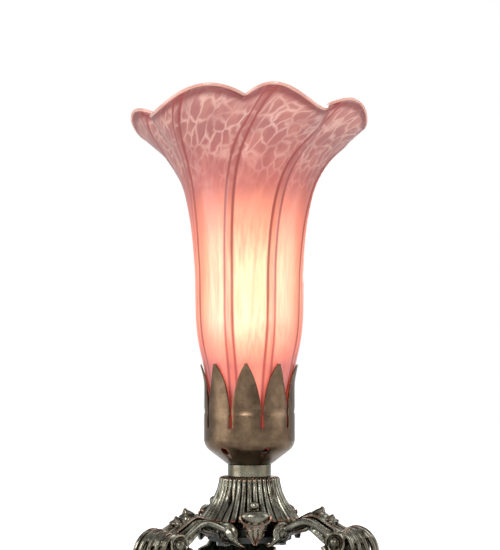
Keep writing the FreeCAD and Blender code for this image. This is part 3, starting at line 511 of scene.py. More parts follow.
# the ramps go by height from the bulb's foot at 0 to the rim at 1, unless a note says otherwise
glass = {
    "foot": 0.16, "span": 0.145,
    "wander": 0.12, "wanderBy": (5, 5, 9), "netScale": (0.21, 0.21, 0.075),
    "thread": [(0.0, 1.0), (0.05, 0.7), (0.15, 0.0)],  # by distance to the thread
    "upper": [(0.62, 0.0), (0.82, 1.0)],
    "patchScale": 0.08, "patch": [(0.35, 0.25), (0.6, 1.0)],  # by noise
    "streakScale": (0.55, 0.55, 0.035), "streak": [(0.40, 0.0), (0.62, 1.0)],  # by noise
    "broadScale": (0.16, 0.16, 0.02), "broad": [(0.45, 0.0), (0.7, 1.0)],  # by noise
    "rose": [(0.0, colour(176, 104, 100)), (0.25, colour(200, 120, 100)),
             (0.55, colour(186, 112, 100)), (0.72, colour(164, 94, 92)),
             (0.86, colour(166, 102, 98)), (1.0, colour(176, 116, 110))],
    "threadTone": colour(232, 190, 176), "streakTone": colour(150, 62, 60),
    "broadTone": colour(236, 170, 146),
    "ribReach": 5.0,
    "ribLine": [(0.0, 0.3), (0.2, 0.25), (0.36, 1.0), (0.5, 1.0), (0.66, 0.0)],  # by distance
    "ribTone": colour(112, 44, 44), "ribGlow": colour(104, 30, 20),
    "rimLine": [(0.974, 0.0), (0.984, 0.85), (0.994, 0.85), (1.0, 0.5)],  # along the glass
    "rimTone": colour(128, 50, 50),
    # painted glow: the next two ramps are the colours of the lamp's light coming through the
    # glass, by height, seen aslant and seen square
    "edge": [(0.0, colour(70, 30, 26)), (0.07, colour(160, 78, 54)), (0.30, colour(178, 90, 52)),
             (0.50, colour(146, 72, 44)), (0.66, colour(76, 34, 26)), (0.85, colour(20, 8, 7)),
             (1.0, colour(10, 4, 4))],
    "paintedGlowSquare": [(0.0, colour(120, 62, 54)), (0.07, colour(236, 160, 124)),
              (0.17, colour(255, 236, 196)), (0.38, colour(255, 228, 180)),
              (0.52, colour(232, 164, 124)), (0.66, colour(128, 62, 48)),
              (0.85, colour(24, 10, 8)), (1.0, colour(12, 5, 4))],
    # painted glow: how strongly the glow seen square shows over the glow seen aslant
    "square": [(0.04, 1.0), (0.26, 0.6), (0.62, 0.0)],  # by how aslant it is seen
    "glowStreak": colour(206, 96, 72), "glowUpper": [(0.50, 1.0), (0.72, 0.0)],
    "plain": {"Emission Strength": 0.9, "Roughness": 0.32, "Transmission Weight": 0.35,
              "IOR": 1.45, "Coat Weight": 0.25, "Coat Roughness": 0.12},
}


def glassMaterial():
    made, tree, shader = newMaterial("pinkBlownGlass")
    flow = addNode(tree, "ShaderNodeAttribute", attribute_name="flow").outputs["Vector"]
    arc = addNode(tree, "ShaderNodeAttribute", attribute_name="ribShade").outputs["Fac"]
    place, along = addNode(tree, "ShaderNodeSeparateXYZ"), addNode(tree, "ShaderNodeSeparateXYZ")
    feed(tree, objectPlace(tree), place.inputs[0])
    feed(tree, flow, along.inputs[0])
    above = addMath(tree, "SUBTRACT", place.outputs["Z"], glass["foot"])
    rise = addMath(tree, "DIVIDE", above, glass["span"])

    # net of pale threads in the upper glass
    wander = addNode(tree, "ShaderNodeTexNoise")
    wander.inputs["Scale"].default_value = glass["wander"]
    feed(tree, flow, wander.inputs["Vector"])
    bent = addNode(tree, "ShaderNodeVectorMath", operation="MULTIPLY_ADD")
    for socket, value in zip(bent.inputs, (wander.outputs["Color"], glass["wanderBy"], flow)):
        feed(tree, value, socket)
    cells = addNode(tree, "ShaderNodeTexVoronoi", feature="DISTANCE_TO_EDGE")
    cells.inputs["Scale"].default_value = 1.0
    feed(tree, addMapping(tree, bent.outputs[0], glass["netScale"]), cells.inputs["Vector"])
    threads = addRamp(tree, cells.outputs["Distance"], glass["thread"])
    threads = addMath(tree, "MULTIPLY", threads, addRamp(tree, rise, glass["upper"]))
    patchy = addRamp(tree, addNoise(tree, flow, glass["patchScale"], 3), glass["patch"])
    threads = addMath(tree, "MULTIPLY", threads, patchy)

    # fine upright streaks, broad pale bands, dark lines beside the ribs and under the rim
    streaks = addNoise(tree, addMapping(tree, flow, glass["streakScale"]), 1.0, 6, 0.6)
    broad = addNoise(tree, addMapping(tree, flow, glass["broadScale"]), 1.0, 4, 0.55)
    streakMask = addRamp(tree, streaks, glass["streak"])
    ribLine = addRamp(tree, addMath(tree, "DIVIDE", arc, glass["ribReach"]), glass["ribLine"])
    flowShare = addMath(tree, "DIVIDE", along.outputs["Z"], shade["length"])
    rimLine = addRamp(tree, flowShare, glass["rimLine"])
    tone = addVeil(tree, threads, 0.75, addRamp(tree, rise, glass["rose"]), glass["threadTone"])
    tone = addVeil(tree, streakMask, 0.16, tone, glass["streakTone"])
    tone = addVeil(tree, addRamp(tree, broad, glass["broad"]), 0.22, tone, glass["broadTone"])
    tone = addVeil(tree, ribLine, 0.9, tone, glass["ribTone"])
    feed(tree, addMix(tree, rimLine, tone, glass["rimTone"]), shader.inputs["Base Color"])

    # painted glow: the emission colour stands in for the lamp inside shining through the lower
    # glass, brightest where one looks square at it
    facing = addNode(tree, "ShaderNodeLayerWeight")
    facing.inputs["Blend"].default_value = 0.5
    square = addRamp(tree, facing.outputs["Facing"], glass["square"])
    edge, paintedGlowSquare = addRamp(tree, rise, glass["edge"]), addRamp(tree, rise, glass["paintedGlowSquare"])
    glow = addMix(tree, square, edge, paintedGlowSquare)
    streaked = addVeil(tree, streakMask, 0.42, glow, glass["glowStreak"])
    glow = addMix(tree, addRamp(tree, rise, glass["glowUpper"]), glow, streaked)
    glow = addVeil(tree, ribLine, 0.85, glow, glass["ribGlow"])
    feed(tree, glow, shader.inputs["Emission Color"])
    for name, value in glass["plain"].items():
        shader.inputs[name].default_value = value
    addBump(tree, shader, streaks, 0.12, 0.5 * mm)
    return made


def lipMaterial():
    made, tree, shader = newMaterial("paleLip")
    tone = clouded(tree, 160, 4, colour(208, 164, 146), colour(190, 122, 112))
    feed(tree, tone, shader.inputs["Base Color"])
    shader.inputs["Roughness"].default_value = 0.18
    shader.inputs["Coat Weight"].default_value = 0.5
    return made


def buildShade():
    piece = shapeShade()
    tidyNormals(piece)
    applyModifier(piece, "SOLIDIFY", thickness=shade["wall"] * mm, offset=-1)
    applyModifier(piece, "SUBSURF", levels=1, render_levels=1)
    piece.data.materials.append(glassMaterial())
    rim = []
    for step in range(shade["sides"]):
        azimuth = 360 * step / shade["sides"]
        reach, height = rimAt(azimuth)
        reach -= shade["lipInset"]
        angle = math.radians(azimuth)
        rim.append((reach * math.cos(angle), reach * math.sin(angle), height + shade["lipRise"]))
    bead = sweptTube("rimBead", rim, [shade["lip"]] * len(rim), cyclic=True)
    bead.data.materials.append(lipMaterial())
    whole = joinAll("blownShade", [piece, bead])
    bpy.ops.object.shade_smooth()
    wear(whole, "shade", "pink_glass", "glass_shade")


buildShade()
print("the shade is blown")

metal = {
    "deep": colour(38, 32, 24), "copper": colour(176, 104, 70), "deepAmount": 0.85,
    "hollowWide": 0.04, "hollowOver": 0.012, "proudFrom": 0.525, "proudTo": 0.60,
    "lineScale": (40, 40, 2600), "patchScale": 420,
}


# turning marks that run round the axis, as height and as paler lines in the tone
def makeBrushedLines():
    tree, given, result = newGroup(
        "brushedLines", {"Tone": "Color", "Bright": "Color", "Amount": "Float"},
        {"Tone": "Color", "Lines": "Float"})
    lines = addNoise(tree, addMapping(tree, objectPlace(tree), metal["lineScale"]), 1.0, 3, 0.6)
    tone = addVeil(tree, lines, given["Amount"], given["Tone"], given["Bright"])
    feed(tree, tone, result["Tone"])
    feed(tree, lines, result["Lines"])
    return tree


# dirt in the hollows, and copper rubbed bare on what stands proud
def makeWornEdges():
    tree, given, result = newGroup(
        "wornEdges", {"Tone": "Color", "Hollow": "Float", "Wear": "Float"}, {"Tone": "Color"})
    bend = addNode(tree, "ShaderNodeNewGeometry").outputs["Pointiness"]
    deepest = addMath(tree, "SUBTRACT", given["Hollow"], metal["hollowWide"])
    shallow = addMath(tree, "ADD", given["Hollow"], metal["hollowOver"])
    hollow = addRange(tree, bend, deepest, shallow, 1.0, 0.0)
    proud = addRange(tree, bend, metal["proudFrom"], metal["proudTo"], 0.0, 1.0)
    cloud = addNoise(tree, objectPlace(tree), metal["patchScale"], 3)
    patch = addRange(tree, cloud, 0.4, 0.6, 0.2, 1.0)
    tone = addVeil(tree, hollow, metal["deepAmount"], given["Tone"], metal["deep"])
    rub = addMath(tree, "MULTIPLY", proud, patch)
    tone = addVeil(tree, rub, given["Wear"], tone, metal["copper"])
    feed(tree, tone, result["Tone"])
    return tree


brushedLines, wornEdges = makeBrushedLines(), makeWornEdges()


def grainOn(tree, shader, scale, detail, smoothest, roughest):
    grain = useGroup(tree, fineGrain, Scale=scale, Detail=detail, Smoothest=smoothest,
                     Roughest=roughest)
    feed(tree, grain["Roughness"], shader.inputs["Roughness"])
    return grain["Grain"]


def bronzeMaterial(name, mid, bright, rough, wearing, hollow=0.47, brushed=0.0):
    made, tree, shader = newMaterial(name)
    tone = clouded(tree, 140, 5, mid, bright, rough=0.6, low=0.35, high=0.7)
    grain = grainOn(tree, shader, 900, 4, rough - 0.08, rough + 0.10)
    if brushed:
        lined = useGroup(tree, brushedLines, Tone=tone, Bright=bright, Amount=brushed)
        tone = lined["Tone"]
        addBump(tree, shader, lined["Lines"], 0.08, 0.2 * mm)
    else:
        addBump(tree, shader, grain, 0.10, 0.3 * mm)
    worn = useGroup(tree, wornEdges, Tone=tone, Hollow=hollow, Wear=wearing)
    feed(tree, worn["Tone"], shader.inputs["Base Color"])
    shader.inputs["Metallic"].default_value = 1.0
    return made


def plainMaterial(name, first, second, rough, metallic=0.0, scale=300, bump=0.1, depth=0.2):
    made, tree, shader = newMaterial(name)
    tone = clouded(tree, scale, 5, first, second, rough=0.6)
    feed(tree, tone, shader.inputs["Base Color"])
    grain = grainOn(tree, shader, scale * 6, 3, rough - 0.08, rough + 0.08)
    shader.inputs["Metallic"].default_value = metallic
    addBump(tree, shader, grain, bump, depth * mm)
    return made


def glowMaterial(name, tone, level):
    made, tree, shader = newMaterial(name)
    brighter = tuple(min(1.0, channel * 1.06) for channel in tone[:3]) + (1.0,)
    tint = clouded(tree, 120, 2, tone, brighter)
    feed(tree, tint, shader.inputs["Base Color"])
    feed(tree, tint, shader.inputs["Emission Color"])
    shader.inputs["Emission Strength"].default_value = level
    shader.inputs["Roughness"].default_value = 0.4
    return made


castBronze = bronzeMaterial("castBronze", colour(66, 62, 52), colour(142, 140, 126), 0.26,
                            wearing=0.85, hollow=0.49)
# painted shade: a near black that stands in for the dark under the neck
paintedShadeBlack = plainMaterial("paintedShadeBlack", colour(15, 16, 13), colour(28, 29, 24), 0.5)
spunBronze = bronzeMaterial("spunBronze", colour(72, 57, 44), colour(118, 98, 78), 0.32,
                            wearing=0.2, brushed=0.5)
collarBronze = bronzeMaterial("collarBronze", colour(88, 90, 76), colour(132, 136, 120), 0.24,
                              wearing=0.2, brushed=0.3)

finishes = {
    "cast_bronze": castBronze, "spun_bronze": spunBronze, "collar_bronze": collarBronze,
    "zinc_steel": plainMaterial("zincSteel", colour(150, 150, 146), colour(190, 190, 186),
                                0.35, metallic=1.0),
    "cap_brass": plainMaterial("capBrass", colour(190, 160, 96), colour(216, 188, 124),
                               0.28, metallic=1.0),
    "black_moulding": plainMaterial("blackMoulding", colour(22, 21, 20), colour(34, 32, 30),
                                    0.45),
    "felt": plainMaterial("greenFelt", colour(30, 44, 32), colour(48, 64, 48), 0.95,
                          scale=900, bump=0.6, depth=0.6),
    "bulb_glass": glowMaterial("litBulb", colour(255, 226, 170), 7.0),
    "filament": glowMaterial("hotFilament", colour(255, 200, 120), 12.0),
}


def dressNodes():
    for entry in frame["record"]["subparts"]:
        finish = finishes.get(entry["material_slot"])
        if finish is None:
            continue
        node = frame["nodes"][entry["node"]]
        if not node.material_slots:
            node.data.materials.append(finish)
        # painted shade: the hub is coloured near black in place of its bronze
        if entry["node"] == "leg_hub":
            finish = paintedShadeBlack  # it lies in the dark under the neck
        for place in node.material_slots:
            place.material = finish


dressNodes()
print("the metal is finished")

cup = {
    "floor": 107.0, "height": 54.0, "radius": 25.0, "wall": 0.8, "floorRadii": (5.3, 8.0, 12.5),
    "shoulder": 8.0, "shoulderFrom": 40, "shoulderRows": 8, "bowl": 13.5,
    "petals": 9, "firstSlot": 6, "root": 28.0, "petalRows": 14, "petalRound": 1.6,
    "petalBlunt": 0.75, "tipHalf": 0.9, "slotEnd": 19.5, "slotHalf": 1.0, "neckHalf": 0.55,
    "slotRows": (19.5, 19.7, 20.1, 20.7, 24, 26.4, 27.2, 28.0), "pinchFrom": 25,
    "pinchLong": 3, "crease": 0.35, "creaseHalf": 1.2, "flareHeight": 11.0, "flare": 2.4,
    "flareCurve": 1.5, "vents": 6, "firstVent": -6.5, "ventRadius": 2.0, "ventHeight": 7.5,
    "drillLong": 16, "drillOut": 20, "columns": 13, "bevel": 0.16,
}


def cupRows():
    rows = [(radius, 0.0) for radius in cup["floorRadii"]]
    sweep = 90 - cup["shoulderFrom"]
    for step in range(cup["shoulderRows"] + 1):
        angle = math.radians(cup["shoulderFrom"] + sweep * step / cup["shoulderRows"])
        rows.append((cup["radius"] - cup["shoulder"] * (1 - math.sin(angle)),
                     cup["bowl"] - cup["shoulder"] * math.cos(angle)))
    count, petal = cup["petalRows"], cup["height"] - cup["root"]
    heights = list(cup["slotRows"])
    heights += [cup["root"] + petal * math.sin(math.pi / 2 * i / count)
                for i in range(1, count + 1)]
    for height in heights:
        lean = max(0.0, (height - cup["height"] + cup["flareHeight"]) / cup["flareHeight"])
        rows.append((cup["radius"] + cup["flare"] * lean ** cup["flareCurve"], height))
    return rows


# how much of its ninth of the circle a petal fills at a height
def petalShare(height):
    pitch = math.pi * cup["radius"] / cup["petals"]
    if height <= cup["slotEnd"]:
        return 1.0
    if height < cup["root"]:
        rise = height - cup["slotEnd"]
        half = cup["slotHalf"] * ((2 * rise - rise * rise) ** 0.5 if rise < 1 else 1.0)
        pinch = smoothSteps((height - cup["pinchFrom"]) / cup["pinchLong"])
        return 1 - (half - (cup["slotHalf"] - cup["neckHalf"]) * pinch) / pitch
    share = (height - cup["root"]) / (cup["height"] - cup["root"])
    taper = max(0.0, 1 - share ** cup["petalRound"]) ** cup["petalBlunt"]
    return max(cup["tipHalf"], (pitch - cup["neckHalf"]) * taper) / pitch


def drillVents(whole):
    cutters = []
    for i in range(cup["vents"]):
        angle = math.radians(cup["firstVent"] + 360 * i / cup["vents"])
        out = cup["drillOut"] * mm
        clearSelection()
        bpy.ops.mesh.primitive_cylinder_add(
            vertices=32, radius=cup["ventRadius"] * mm, depth=cup["drillLong"] * mm,
            rotation=(0, math.pi / 2, angle),
            location=(out * math.cos(angle), out * math.sin(angle),
                      (cup["floor"] + cup["ventHeight"]) * mm))
        cutters.append(bpy.context.object)
    drill = joinAll("ventDrill", cutters)
    applyModifier(whole, "BOOLEAN", operation="DIFFERENCE", object=drill)
    useOnly(drill)
    bpy.ops.object.delete()


def buildCup():
    rows = cupRows()
    pitch = 2 * math.pi / cup["petals"]
    middle = math.radians(cup["firstSlot"]) + pitch / 2

    def spotAt(across, up):
        radius, height = rows[round(up * (len(rows) - 1))]
        angle = middle + across * petalShare(height) * pitch / 2
        near = smoothSteps(1 - abs(height - cup["root"]) / cup["creaseHalf"])
        radius -= cup["crease"] * near
        return radius * math.cos(angle), radius * math.sin(angle), cup["floor"] + height

    petal = placedGrid("petal", cup["columns"] - 1, len(rows) - 1, spotAt)
    turns = [360 * i / cup["petals"] for i in range(cup["petals"])]
    whole = joinAll("petalCup", copyRound(petal, turns))
    tidyNormals(whole)
    applyModifier(whole, "SOLIDIFY", thickness=cup["wall"] * mm, offset=-1)
    drillVents(whole)
    applyModifier(whole, "BEVEL", width=cup["bevel"] * mm, segments=2, limit_method="ANGLE",
                  angle_limit=math.radians(50))
    useOnly(whole)
    bpy.ops.object.shade_smooth_by_angle(angle=math.radians(40))
    coverWith(whole, spunBronze)
    wear(whole, "base", "spun_bronze", "petal_cup")


buildCup()
print("the petal cup is spun")

legAngles = {"left": 217, "right": 337, "rear": 97}
gapAngles = [angle + 60 for angle in legAngles.values()]
neck = {
    "seat": 78.0, "height": 22.0, "top": 16.6, "foot": 27.3, "sweep": 1.8, "sides": 288,
    "rows": 30, "flutes": 36, "fluteDepth": 0.085, "fluteRound": 0.7, "lip": 1.1, "core": 12.0,
    "pipe": 5.3, "recessDepth": 2.6, "recessHeight": 9.5, "recessOff": 41,
    "recessHalf": (2.0, 3.4), "scallop": 0.5, "scallopFrom": 18, "scallopLong": 4,
}


def neckRadius(height):
    left = max(0.0, 1 - height / neck["height"])
    return neck["top"] + (neck["foot"] - neck["top"]) * left ** neck["sweep"]


# how deep the small recesses beside each gap's ball are, at an angle and height
def recessAt(angle, radius, height):
    dent = 0.0
    wide, tall = neck["recessHalf"]
    for gap in gapAngles:
        for side in (-1, 1):
            off = (angle - gap - side * neck["recessOff"] + 180) % 360 - 180
            arc = math.radians(off) * radius
            up = height - neck["recessHeight"]
            dent += neck["recessDepth"] * math.exp(-(arc / wide) ** 2 - (up / tall) ** 2)
    return dent


def shapeNeck():
    body = neck["height"] - neck["lip"]
    rings = [(neck["core"], 0.0)]
    for i in range(neck["rows"] + 1):
        rings.append((neckRadius(body * i / neck["rows"]), body * i / neck["rows"]))
    rings += [(neck["top"] - 0.25, body + 0.6), (neck["top"] - neck["lip"], neck["height"]),
              (neck["pipe"], neck["height"])]
    piece = raiseRings("flutedNeck", neck["sides"],
                       [(r * mm, (z + neck["seat"]) * mm) for r, z in rings])
    for vertex in piece.data.vertices:
        x, y, z = [value / mm for value in vertex.co]
        radius, height = math.hypot(x, y), z - neck["seat"]
        angle = math.degrees(math.atan2(y, x))
        if radius < neck["core"] + 0.5:
            continue
        wave = abs(math.cos(math.radians(angle) * neck["flutes"] / 2)) ** neck["fluteRound"]
        deeper = 0.75 + 0.5 * (1 - height / neck["height"])
        grow = 1 - neck["fluteDepth"] * (1 - wave) * deeper
        edge = smoothSteps((height - neck["scallopFrom"]) / neck["scallopLong"])
        scallop = neck["scallop"] * (1 - wave) * edge
        grown = (radius * grow - recessAt(angle, radius, height)) / radius
        vertex.co = Vector((x * grown, y * grown, z - scallop)) * mm
    tidyNormals(piece)
    return piece


# ball, dome and hanging leaf of one gap between the legs, made on the x axis
ornament = {
    "ballUp": 8.0, "ball": (2.6, 2.6, 2.6),
    "domes": [((25.3, 0, 80.6), (3.4, 7.5, 3.6)), ((26.6, 0, 79.4), (1.6, 5.2, 2.2))],
    "rimX": 26.4, "rimOut": 1.2, "rimHalf": 8.2, "rimZ": 80.2, "rimDrop": 4.0, "rimThick": 0.75,
    "leafX": 25.2, "leafZ": 78.4, "leafLong": 12.2, "leafLean": 0.8, "leafWall": 1.4,
    "leafHalf": [(0.0, 3.6), (0.12, 5.6), (0.3, 6.0), (0.42, 4.4), (0.5, 4.6), (0.66, 3.8),
                 (0.85, 1.6), (1.0, 0.25)],
}


def hangingLeaf():
    def leafSpot(across, down):
        crown = 1.5 * (1 - across * across) + 0.5 * math.cos(math.pi * across * 3)
        return (ornament["leafX"] + crown - ornament["leafLean"] * down,
                across * between(ornament["leafHalf"], down),
                ornament["leafZ"] - ornament["leafLong"] * down)

    leaf = placedGrid("hangingLeaf", 20, 26, leafSpot)
    applyModifier(leaf, "SOLIDIFY", thickness=ornament["leafWall"] * mm, offset=0)
    return leaf


def gapOrnament():
    up = ornament["ballUp"]
    pieces = [oval((neckRadius(up), 0, neck["seat"] + up), ornament["ball"])]
    pieces += [oval(centre, half) for centre, half in ornament["domes"]]
    rim = []
    for step in range(-100, 101, 10):
        angle = math.radians(step)
        rim.append((ornament["rimX"] + ornament["rimOut"] * math.cos(angle),
                    ornament["rimHalf"] * math.sin(angle),
                    ornament["rimZ"] - ornament["rimDrop"] * math.cos(angle)))
    pieces.append(sweptTube("domeRim", rim, [ornament["rimThick"]] * len(rim)))
    pieces.append(hangingLeaf())
    for side in (-1, 1):
        vein = [(26.9 - 0.03 * i, side * (0.4 + 0.42 * i), 76.5 - 0.8 * i + 0.06 * i * i)
                for i in range(9)]
        pieces.append(sweptTube("leafVein", vein, [0.5 - 0.03 * i for i in range(9)]))
    pieces.append(sweptTube("leafRib", [(27.2 - 0.07 * i, 0, 78 - 1.05 * i) for i in range(11)],
                            [0.6 - 0.03 * i for i in range(11)]))
    return joinAll("gapOrnament", pieces)


def buildNeck():
    ornaments = copyRound(gapOrnament(), gapAngles)
    whole = joinAll("flutedNeck", [shapeNeck(), *ornaments])
    bpy.ops.object.shade_smooth_by_angle(angle=math.radians(50))
    coverWith(whole, castBronze)
    wear(whole, "base", "cast_bronze", "fluted_neck")


buildNeck()
print("the neck is fluted")

# one leg, made on the x axis
legForm = {
    # x, z and half width, from the root over the knee to the foot
    "line": [(23.5, 75.6, 8.0), (28, 77.4, 8.5), (38, 81.4, 9.0), (49.2, 75.8, 10.5),
             (60.5, 69.5, 14.0), (68.6, 58.5, 21), (69.5, 48, 26), (67.5, 38, 21.5),
             (64.2, 29, 16), (59.5, 21, 12), (56.8, 15, 9.5), (58.5, 10, 9), (63, 8.5, 8.6)],
    "columns": 56, "rows": 120, "wall": 2.8, "depth": 9.0, "ridge": 1.1, "voxel": 0.55,
    "eye": (53.0, 68.0), "eyeRadius": 5.6, "eyeHalf": 10.6, "eyeBoss": (3.0, 2.2, 3.0),
    "foot": (63.0, 8.5), "footRadius": 6.4, "footHalf": 9.2, "footBoss": (2.8, 1.8, 2.8),
    "soleRadius": 7, "soleHeight": 3.4, "soleUp": 3.7,
    "beads": [((41.6, 0, 80.2), (4.2, 4.4, 2.4)), ((48.0, 0, 77.8), (3.4, 4.6, 1.8))],
    "horn": [(38.5, 0, 79.6), (40.6, 0, 81.6), (42.2, 0, 83.4), (42.6, 0, 84.6),
             (41.8, 0, 85.6)],
    "hornThick": [3.6, 3.0, 1.9, 1.1, 0.3],
    "brow": [(46.0, 0, 77.6), (47.4, 0, 79.4), (48.2, 0, 80.8), (47.8, 0, 81.8)],
    "browThick": [2.8, 2.2, 1.2, 0.3],
    "strap": [(24.5, 12.4, 73.5), (29, 11.0, 75.8), (35, 9.6, 78.4), (41, 9.6, 77.0),
              (46, 10.4, 73.6), (49.5, 11.0, 71.8)],
    "strapThick": [1.4, 1.7, 1.8, 1.8, 1.6, 1.2],
    "lobeAngle": 28, "lobeOut": 26.2, "lobeUp": 71.9, "lobeHalf": (2.2, 5.2, 5.2),
    "lobeEye": (1.6, 1.7, 1.7), "lobeRim": 5.0,
    "plateHalfAngle": 33.6, "plateRadius": 20.1, "plateHalf": 6.7, "plateUp": 73.7,
    "plateThick": 8.3, "hollow": (36, 0, 42), "shadowTone": colour(17, 20, 14),
}


# a smooth curve through the points of the leg's line
def legSpot(place):
    keys = legForm["line"]
    at = place * (len(keys) - 1)
    first = min(int(at), len(keys) - 2)
    t = at - first
    near = [keys[max(0, min(len(keys) - 1, first + i))] for i in (-1, 0, 1, 2)]
    return [0.5 * (2 * b + (c - a) * t + (2 * a - 5 * b + 4 * c - d) * t * t
                   + (3 * b - a - 3 * c + d) * t ** 3)
            for a, b, c, d in zip(*near)]


def leafBand():
    def spotAt(across, down):
        x, z, half = legSpot(down)
        ahead, behind = legSpot(min(1.0, down + 0.004)), legSpot(max(0.0, down - 0.004))
        dx, dz = ahead[0] - behind[0], ahead[1] - behind[1]
        long = math.hypot(dx, dz)
        ends = min(1, 0.3 + 6 * down, 0.2 + 6 * (1 - down))
        depth = min(legForm["depth"], half * 0.8) * ends
        notch = abs(math.sin(math.pi * down * 11)) * smoothSteps((half - 9) / 6)
        ribs = math.cos(across * math.pi * 4.5) * legForm["ridge"] * smoothSteps((half - 6) / 8)
        vein = 0.8 * math.exp(-(across / 0.07) ** 2)
        rise = ribs + vein - depth * across * across
        return x - dz / long * rise, across * half * (1 - 0.07 * notch), z + dx / long * rise

    leaf = placedGrid("legLeaf", legForm["columns"], legForm["rows"], spotAt)
    applyModifier(leaf, "SOLIDIFY", thickness=legForm["wall"] * mm, offset=1)
    return leaf


def arcRound(centre, radius, side, start, stop, grow=0.0):
    spots = []
    for i in range(19):
        angle, reach = math.radians(start + (stop - start) * i / 18), radius + grow * i / 18
        spots.append((centre[0] + reach * math.cos(angle), side,
                      centre[1] + reach * math.sin(angle)))
    return spots


def spiral(centre, side, outer, turns, wind):
    spots = []
    for i in range(31):
        angle, reach = wind * 2 * math.pi * turns * i / 30, outer * (1 - 0.8 * i / 30)
        spots.append((centre[0] + reach * math.cos(angle), side,
                      centre[1] + reach * math.sin(angle)))
    return spots


def armRidges():
    pieces = []
    shares = [0.12 + 0.28 * i / 9 for i in range(10)]
    for vein in (-2, -1, 1, 2):
        ridge = [(legSpot(share)[0], vein * (2.5 + 0.12 * i),
                  0.6 + legSpot(share)[1] - 0.5 * abs(vein)) for i, share in enumerate(shares)]
        thick = [0.5 + 0.5 * math.sin(math.pi * i / 9) for i in range(10)]
        pieces.append(sweptTube("armRidge", ridge, thick))
    return pieces


# the scrolls of one side of the leg, side being -1 or 1
def sideScrolls(side):
    eye, foot = legForm["eye"], legForm["foot"]
    pieces = [oval((eye[0], side * 11.8, eye[1]), legForm["eyeBoss"]),
              oval((foot[0], side * 9.6, foot[1]), legForm["footBoss"]),
              sweptTube("eyeCurl", arcRound(eye, 5.0, side * 10.9, 200, -130), [0.9] * 19)]
    for ring in range(4):
        flute = arcRound(eye, 5.6 + 0.7 * ring, side * (10.4 - 2.7 * ring), 74 - 4 * ring,
                         -52 + 6 * ring, grow=5.5 + 3.2 * ring)
        thick = [0.5 + 0.9 * math.sin(math.pi * i / 18) for i in range(19)]
        pieces.append(sweptTube("eyeFlute", flute, thick))
    curl = [(47 + 0.5 * i, side * (12.2 + 0.35 * i), 66 - 1.1 * i + 0.09 * i * i)
            for i in range(9)]
    pieces.append(sweptTube("sideCurl", curl, [1.7 - 0.17 * i for i in range(9)]))
    strap = [(x, side * y, z) for x, y, z in legForm["strap"]]
    pieces.append(sweptTube("armStrap", strap, legForm["strapThick"]))
    pieces.append(sweptTube("footSpiral", spiral(foot, side * 9.4, 5.6, 1.5, side), [0.8] * 31))
    return pieces


# the scrolled lobes at the leg's root, under the neck's edge
def rootLobes():
    pieces = []
    for side in (-1, 1):
        angle = math.radians(legForm["lobeAngle"] * side)
        cosine, sine = math.cos(angle), math.sin(angle)
        middle = (legForm["lobeOut"] * cosine, legForm["lobeOut"] * sine, legForm["lobeUp"])

        def on(dy, dz, out):
            return (middle[0] - sine * dy + cosine * out, middle[1] + cosine * dy + sine * out,
                    middle[2] + dz)

        pieces.append(oval(middle, legForm["lobeHalf"], angle))
        pieces.append(oval(on(0, 0, 1.6), legForm["lobeEye"], angle))
        rim = [on(legForm["lobeRim"] * math.cos(math.radians(a)),
                  legForm["lobeRim"] * math.sin(math.radians(a)), 0.7) for a in range(0, 360, 15)]
        pieces.append(sweptTube("lobeRim", rim, [1.0] * len(rim), cyclic=True))
        wind = [on((4.2 - 0.11 * i) * math.cos(0.36 * i * side),
                   (4.2 - 0.11 * i) * math.sin(0.36 * i * side), 1.9) for i in range(27)]
        pieces.append(sweptTube("lobeSpiral", wind, [0.5] * 27))
        for drop in (0, 1):
            tail = [on(side * (2.0 + 1.6 * i + 1.5 * drop), -3.0 - 1.4 * i + 0.12 * i * i, 0.4)
                    for i in range(4 + drop)]
            pieces.append(sweptTube("lobeTail", tail, [1.9 - 0.4 * i for i in range(4 + drop)]))
    return pieces


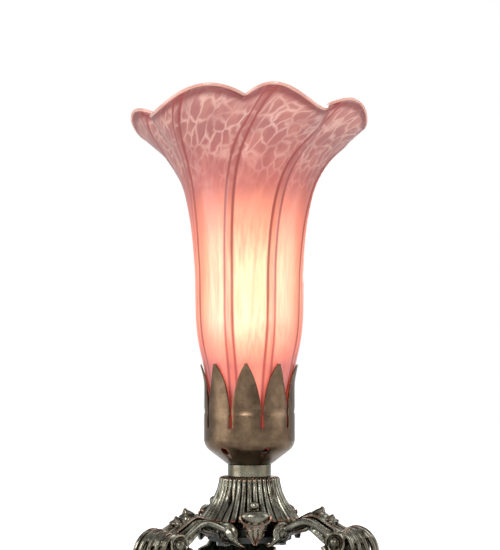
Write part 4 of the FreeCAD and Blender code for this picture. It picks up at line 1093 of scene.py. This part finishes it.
def legExtras():
    foot = legForm["foot"]
    pieces = [sideRoll(legForm["eyeRadius"], legForm["eyeHalf"], legForm["eye"]),
              sideRoll(legForm["footRadius"], legForm["footHalf"], foot)]
    pieces += [oval(centre, half) for centre, half in legForm["beads"]]
    clearSelection()
    bpy.ops.mesh.primitive_cylinder_add(
        vertices=48, radius=legForm["soleRadius"] * mm, depth=legForm["soleHeight"] * mm,
        location=(foot[0] * mm, 0, legForm["soleUp"] * mm))
    pieces.append(bpy.context.object)
    pieces.append(sweptTube("hornLeaf", legForm["horn"], legForm["hornThick"]))
    pieces.append(sweptTube("browLeaf", legForm["brow"], legForm["browThick"]))
    return pieces + armRidges() + sideScrolls(-1) + sideScrolls(1) + rootLobes()


# the casting's flat root, which is screwed to the hub
def rootPlate():
    clearSelection()
    bpy.ops.mesh.primitive_grid_add(x_subdivisions=12, y_subdivisions=3, size=2)
    plate = bpy.context.object
    for vertex in plate.data.vertices:
        angle = math.radians(legForm["plateHalfAngle"] * vertex.co.x)
        radius = legForm["plateRadius"] + legForm["plateHalf"] * vertex.co.y
        vertex.co = Vector((radius * math.cos(angle), radius * math.sin(angle),
                            legForm["plateUp"])) * mm
    applyModifier(plate, "SOLIDIFY", thickness=legForm["plateThick"] * mm, offset=0)
    return plate


# cast bronze that goes nearly black in the leg's hollow back
def legMaterial():
    made = castBronze.copy()
    made.name = "legBronze"
    tree = made.node_tree
    base = tree.nodes["Principled BSDF"].inputs["Base Color"]
    tone = base.links[0].from_socket
    inner = addNode(tree, "ShaderNodeAttribute", attribute_name="innerFace").outputs["Fac"]
    feed(tree, addMix(tree, inner, tone, legForm["shadowTone"]), base)
    return made


def markInnerFace(leg):
    shadow = leg.data.attributes.new("innerFace", "FLOAT", "POINT")
    hollow = Vector(legForm["hollow"]) * mm
    for vertex in leg.data.vertices:
        facing = (hollow - vertex.co).normalized().dot(vertex.normal)
        shadow.data[vertex.index].value = smoothSteps((facing - 0.25) / 0.4)


def buildLegs():
    leg = joinAll("scrollLeg", [leafBand(), rootPlate(), *legExtras()])
    applyModifier(leg, "REMESH", mode="VOXEL", voxel_size=legForm["voxel"] * mm)
    applyModifier(leg, "SMOOTH", factor=0.5, iterations=2)
    markInnerFace(leg)
    useOnly(leg)
    bpy.ops.object.shade_smooth()
    coverWith(leg, legMaterial())
    for copy, side in zip(copyRound(leg, legAngles.values()), legAngles):
        copy.name = side + "ScrollLeg"
        wear(copy, "base", "cast_bronze", side + "_scroll_leg")


buildLegs()
print("the legs are cast")
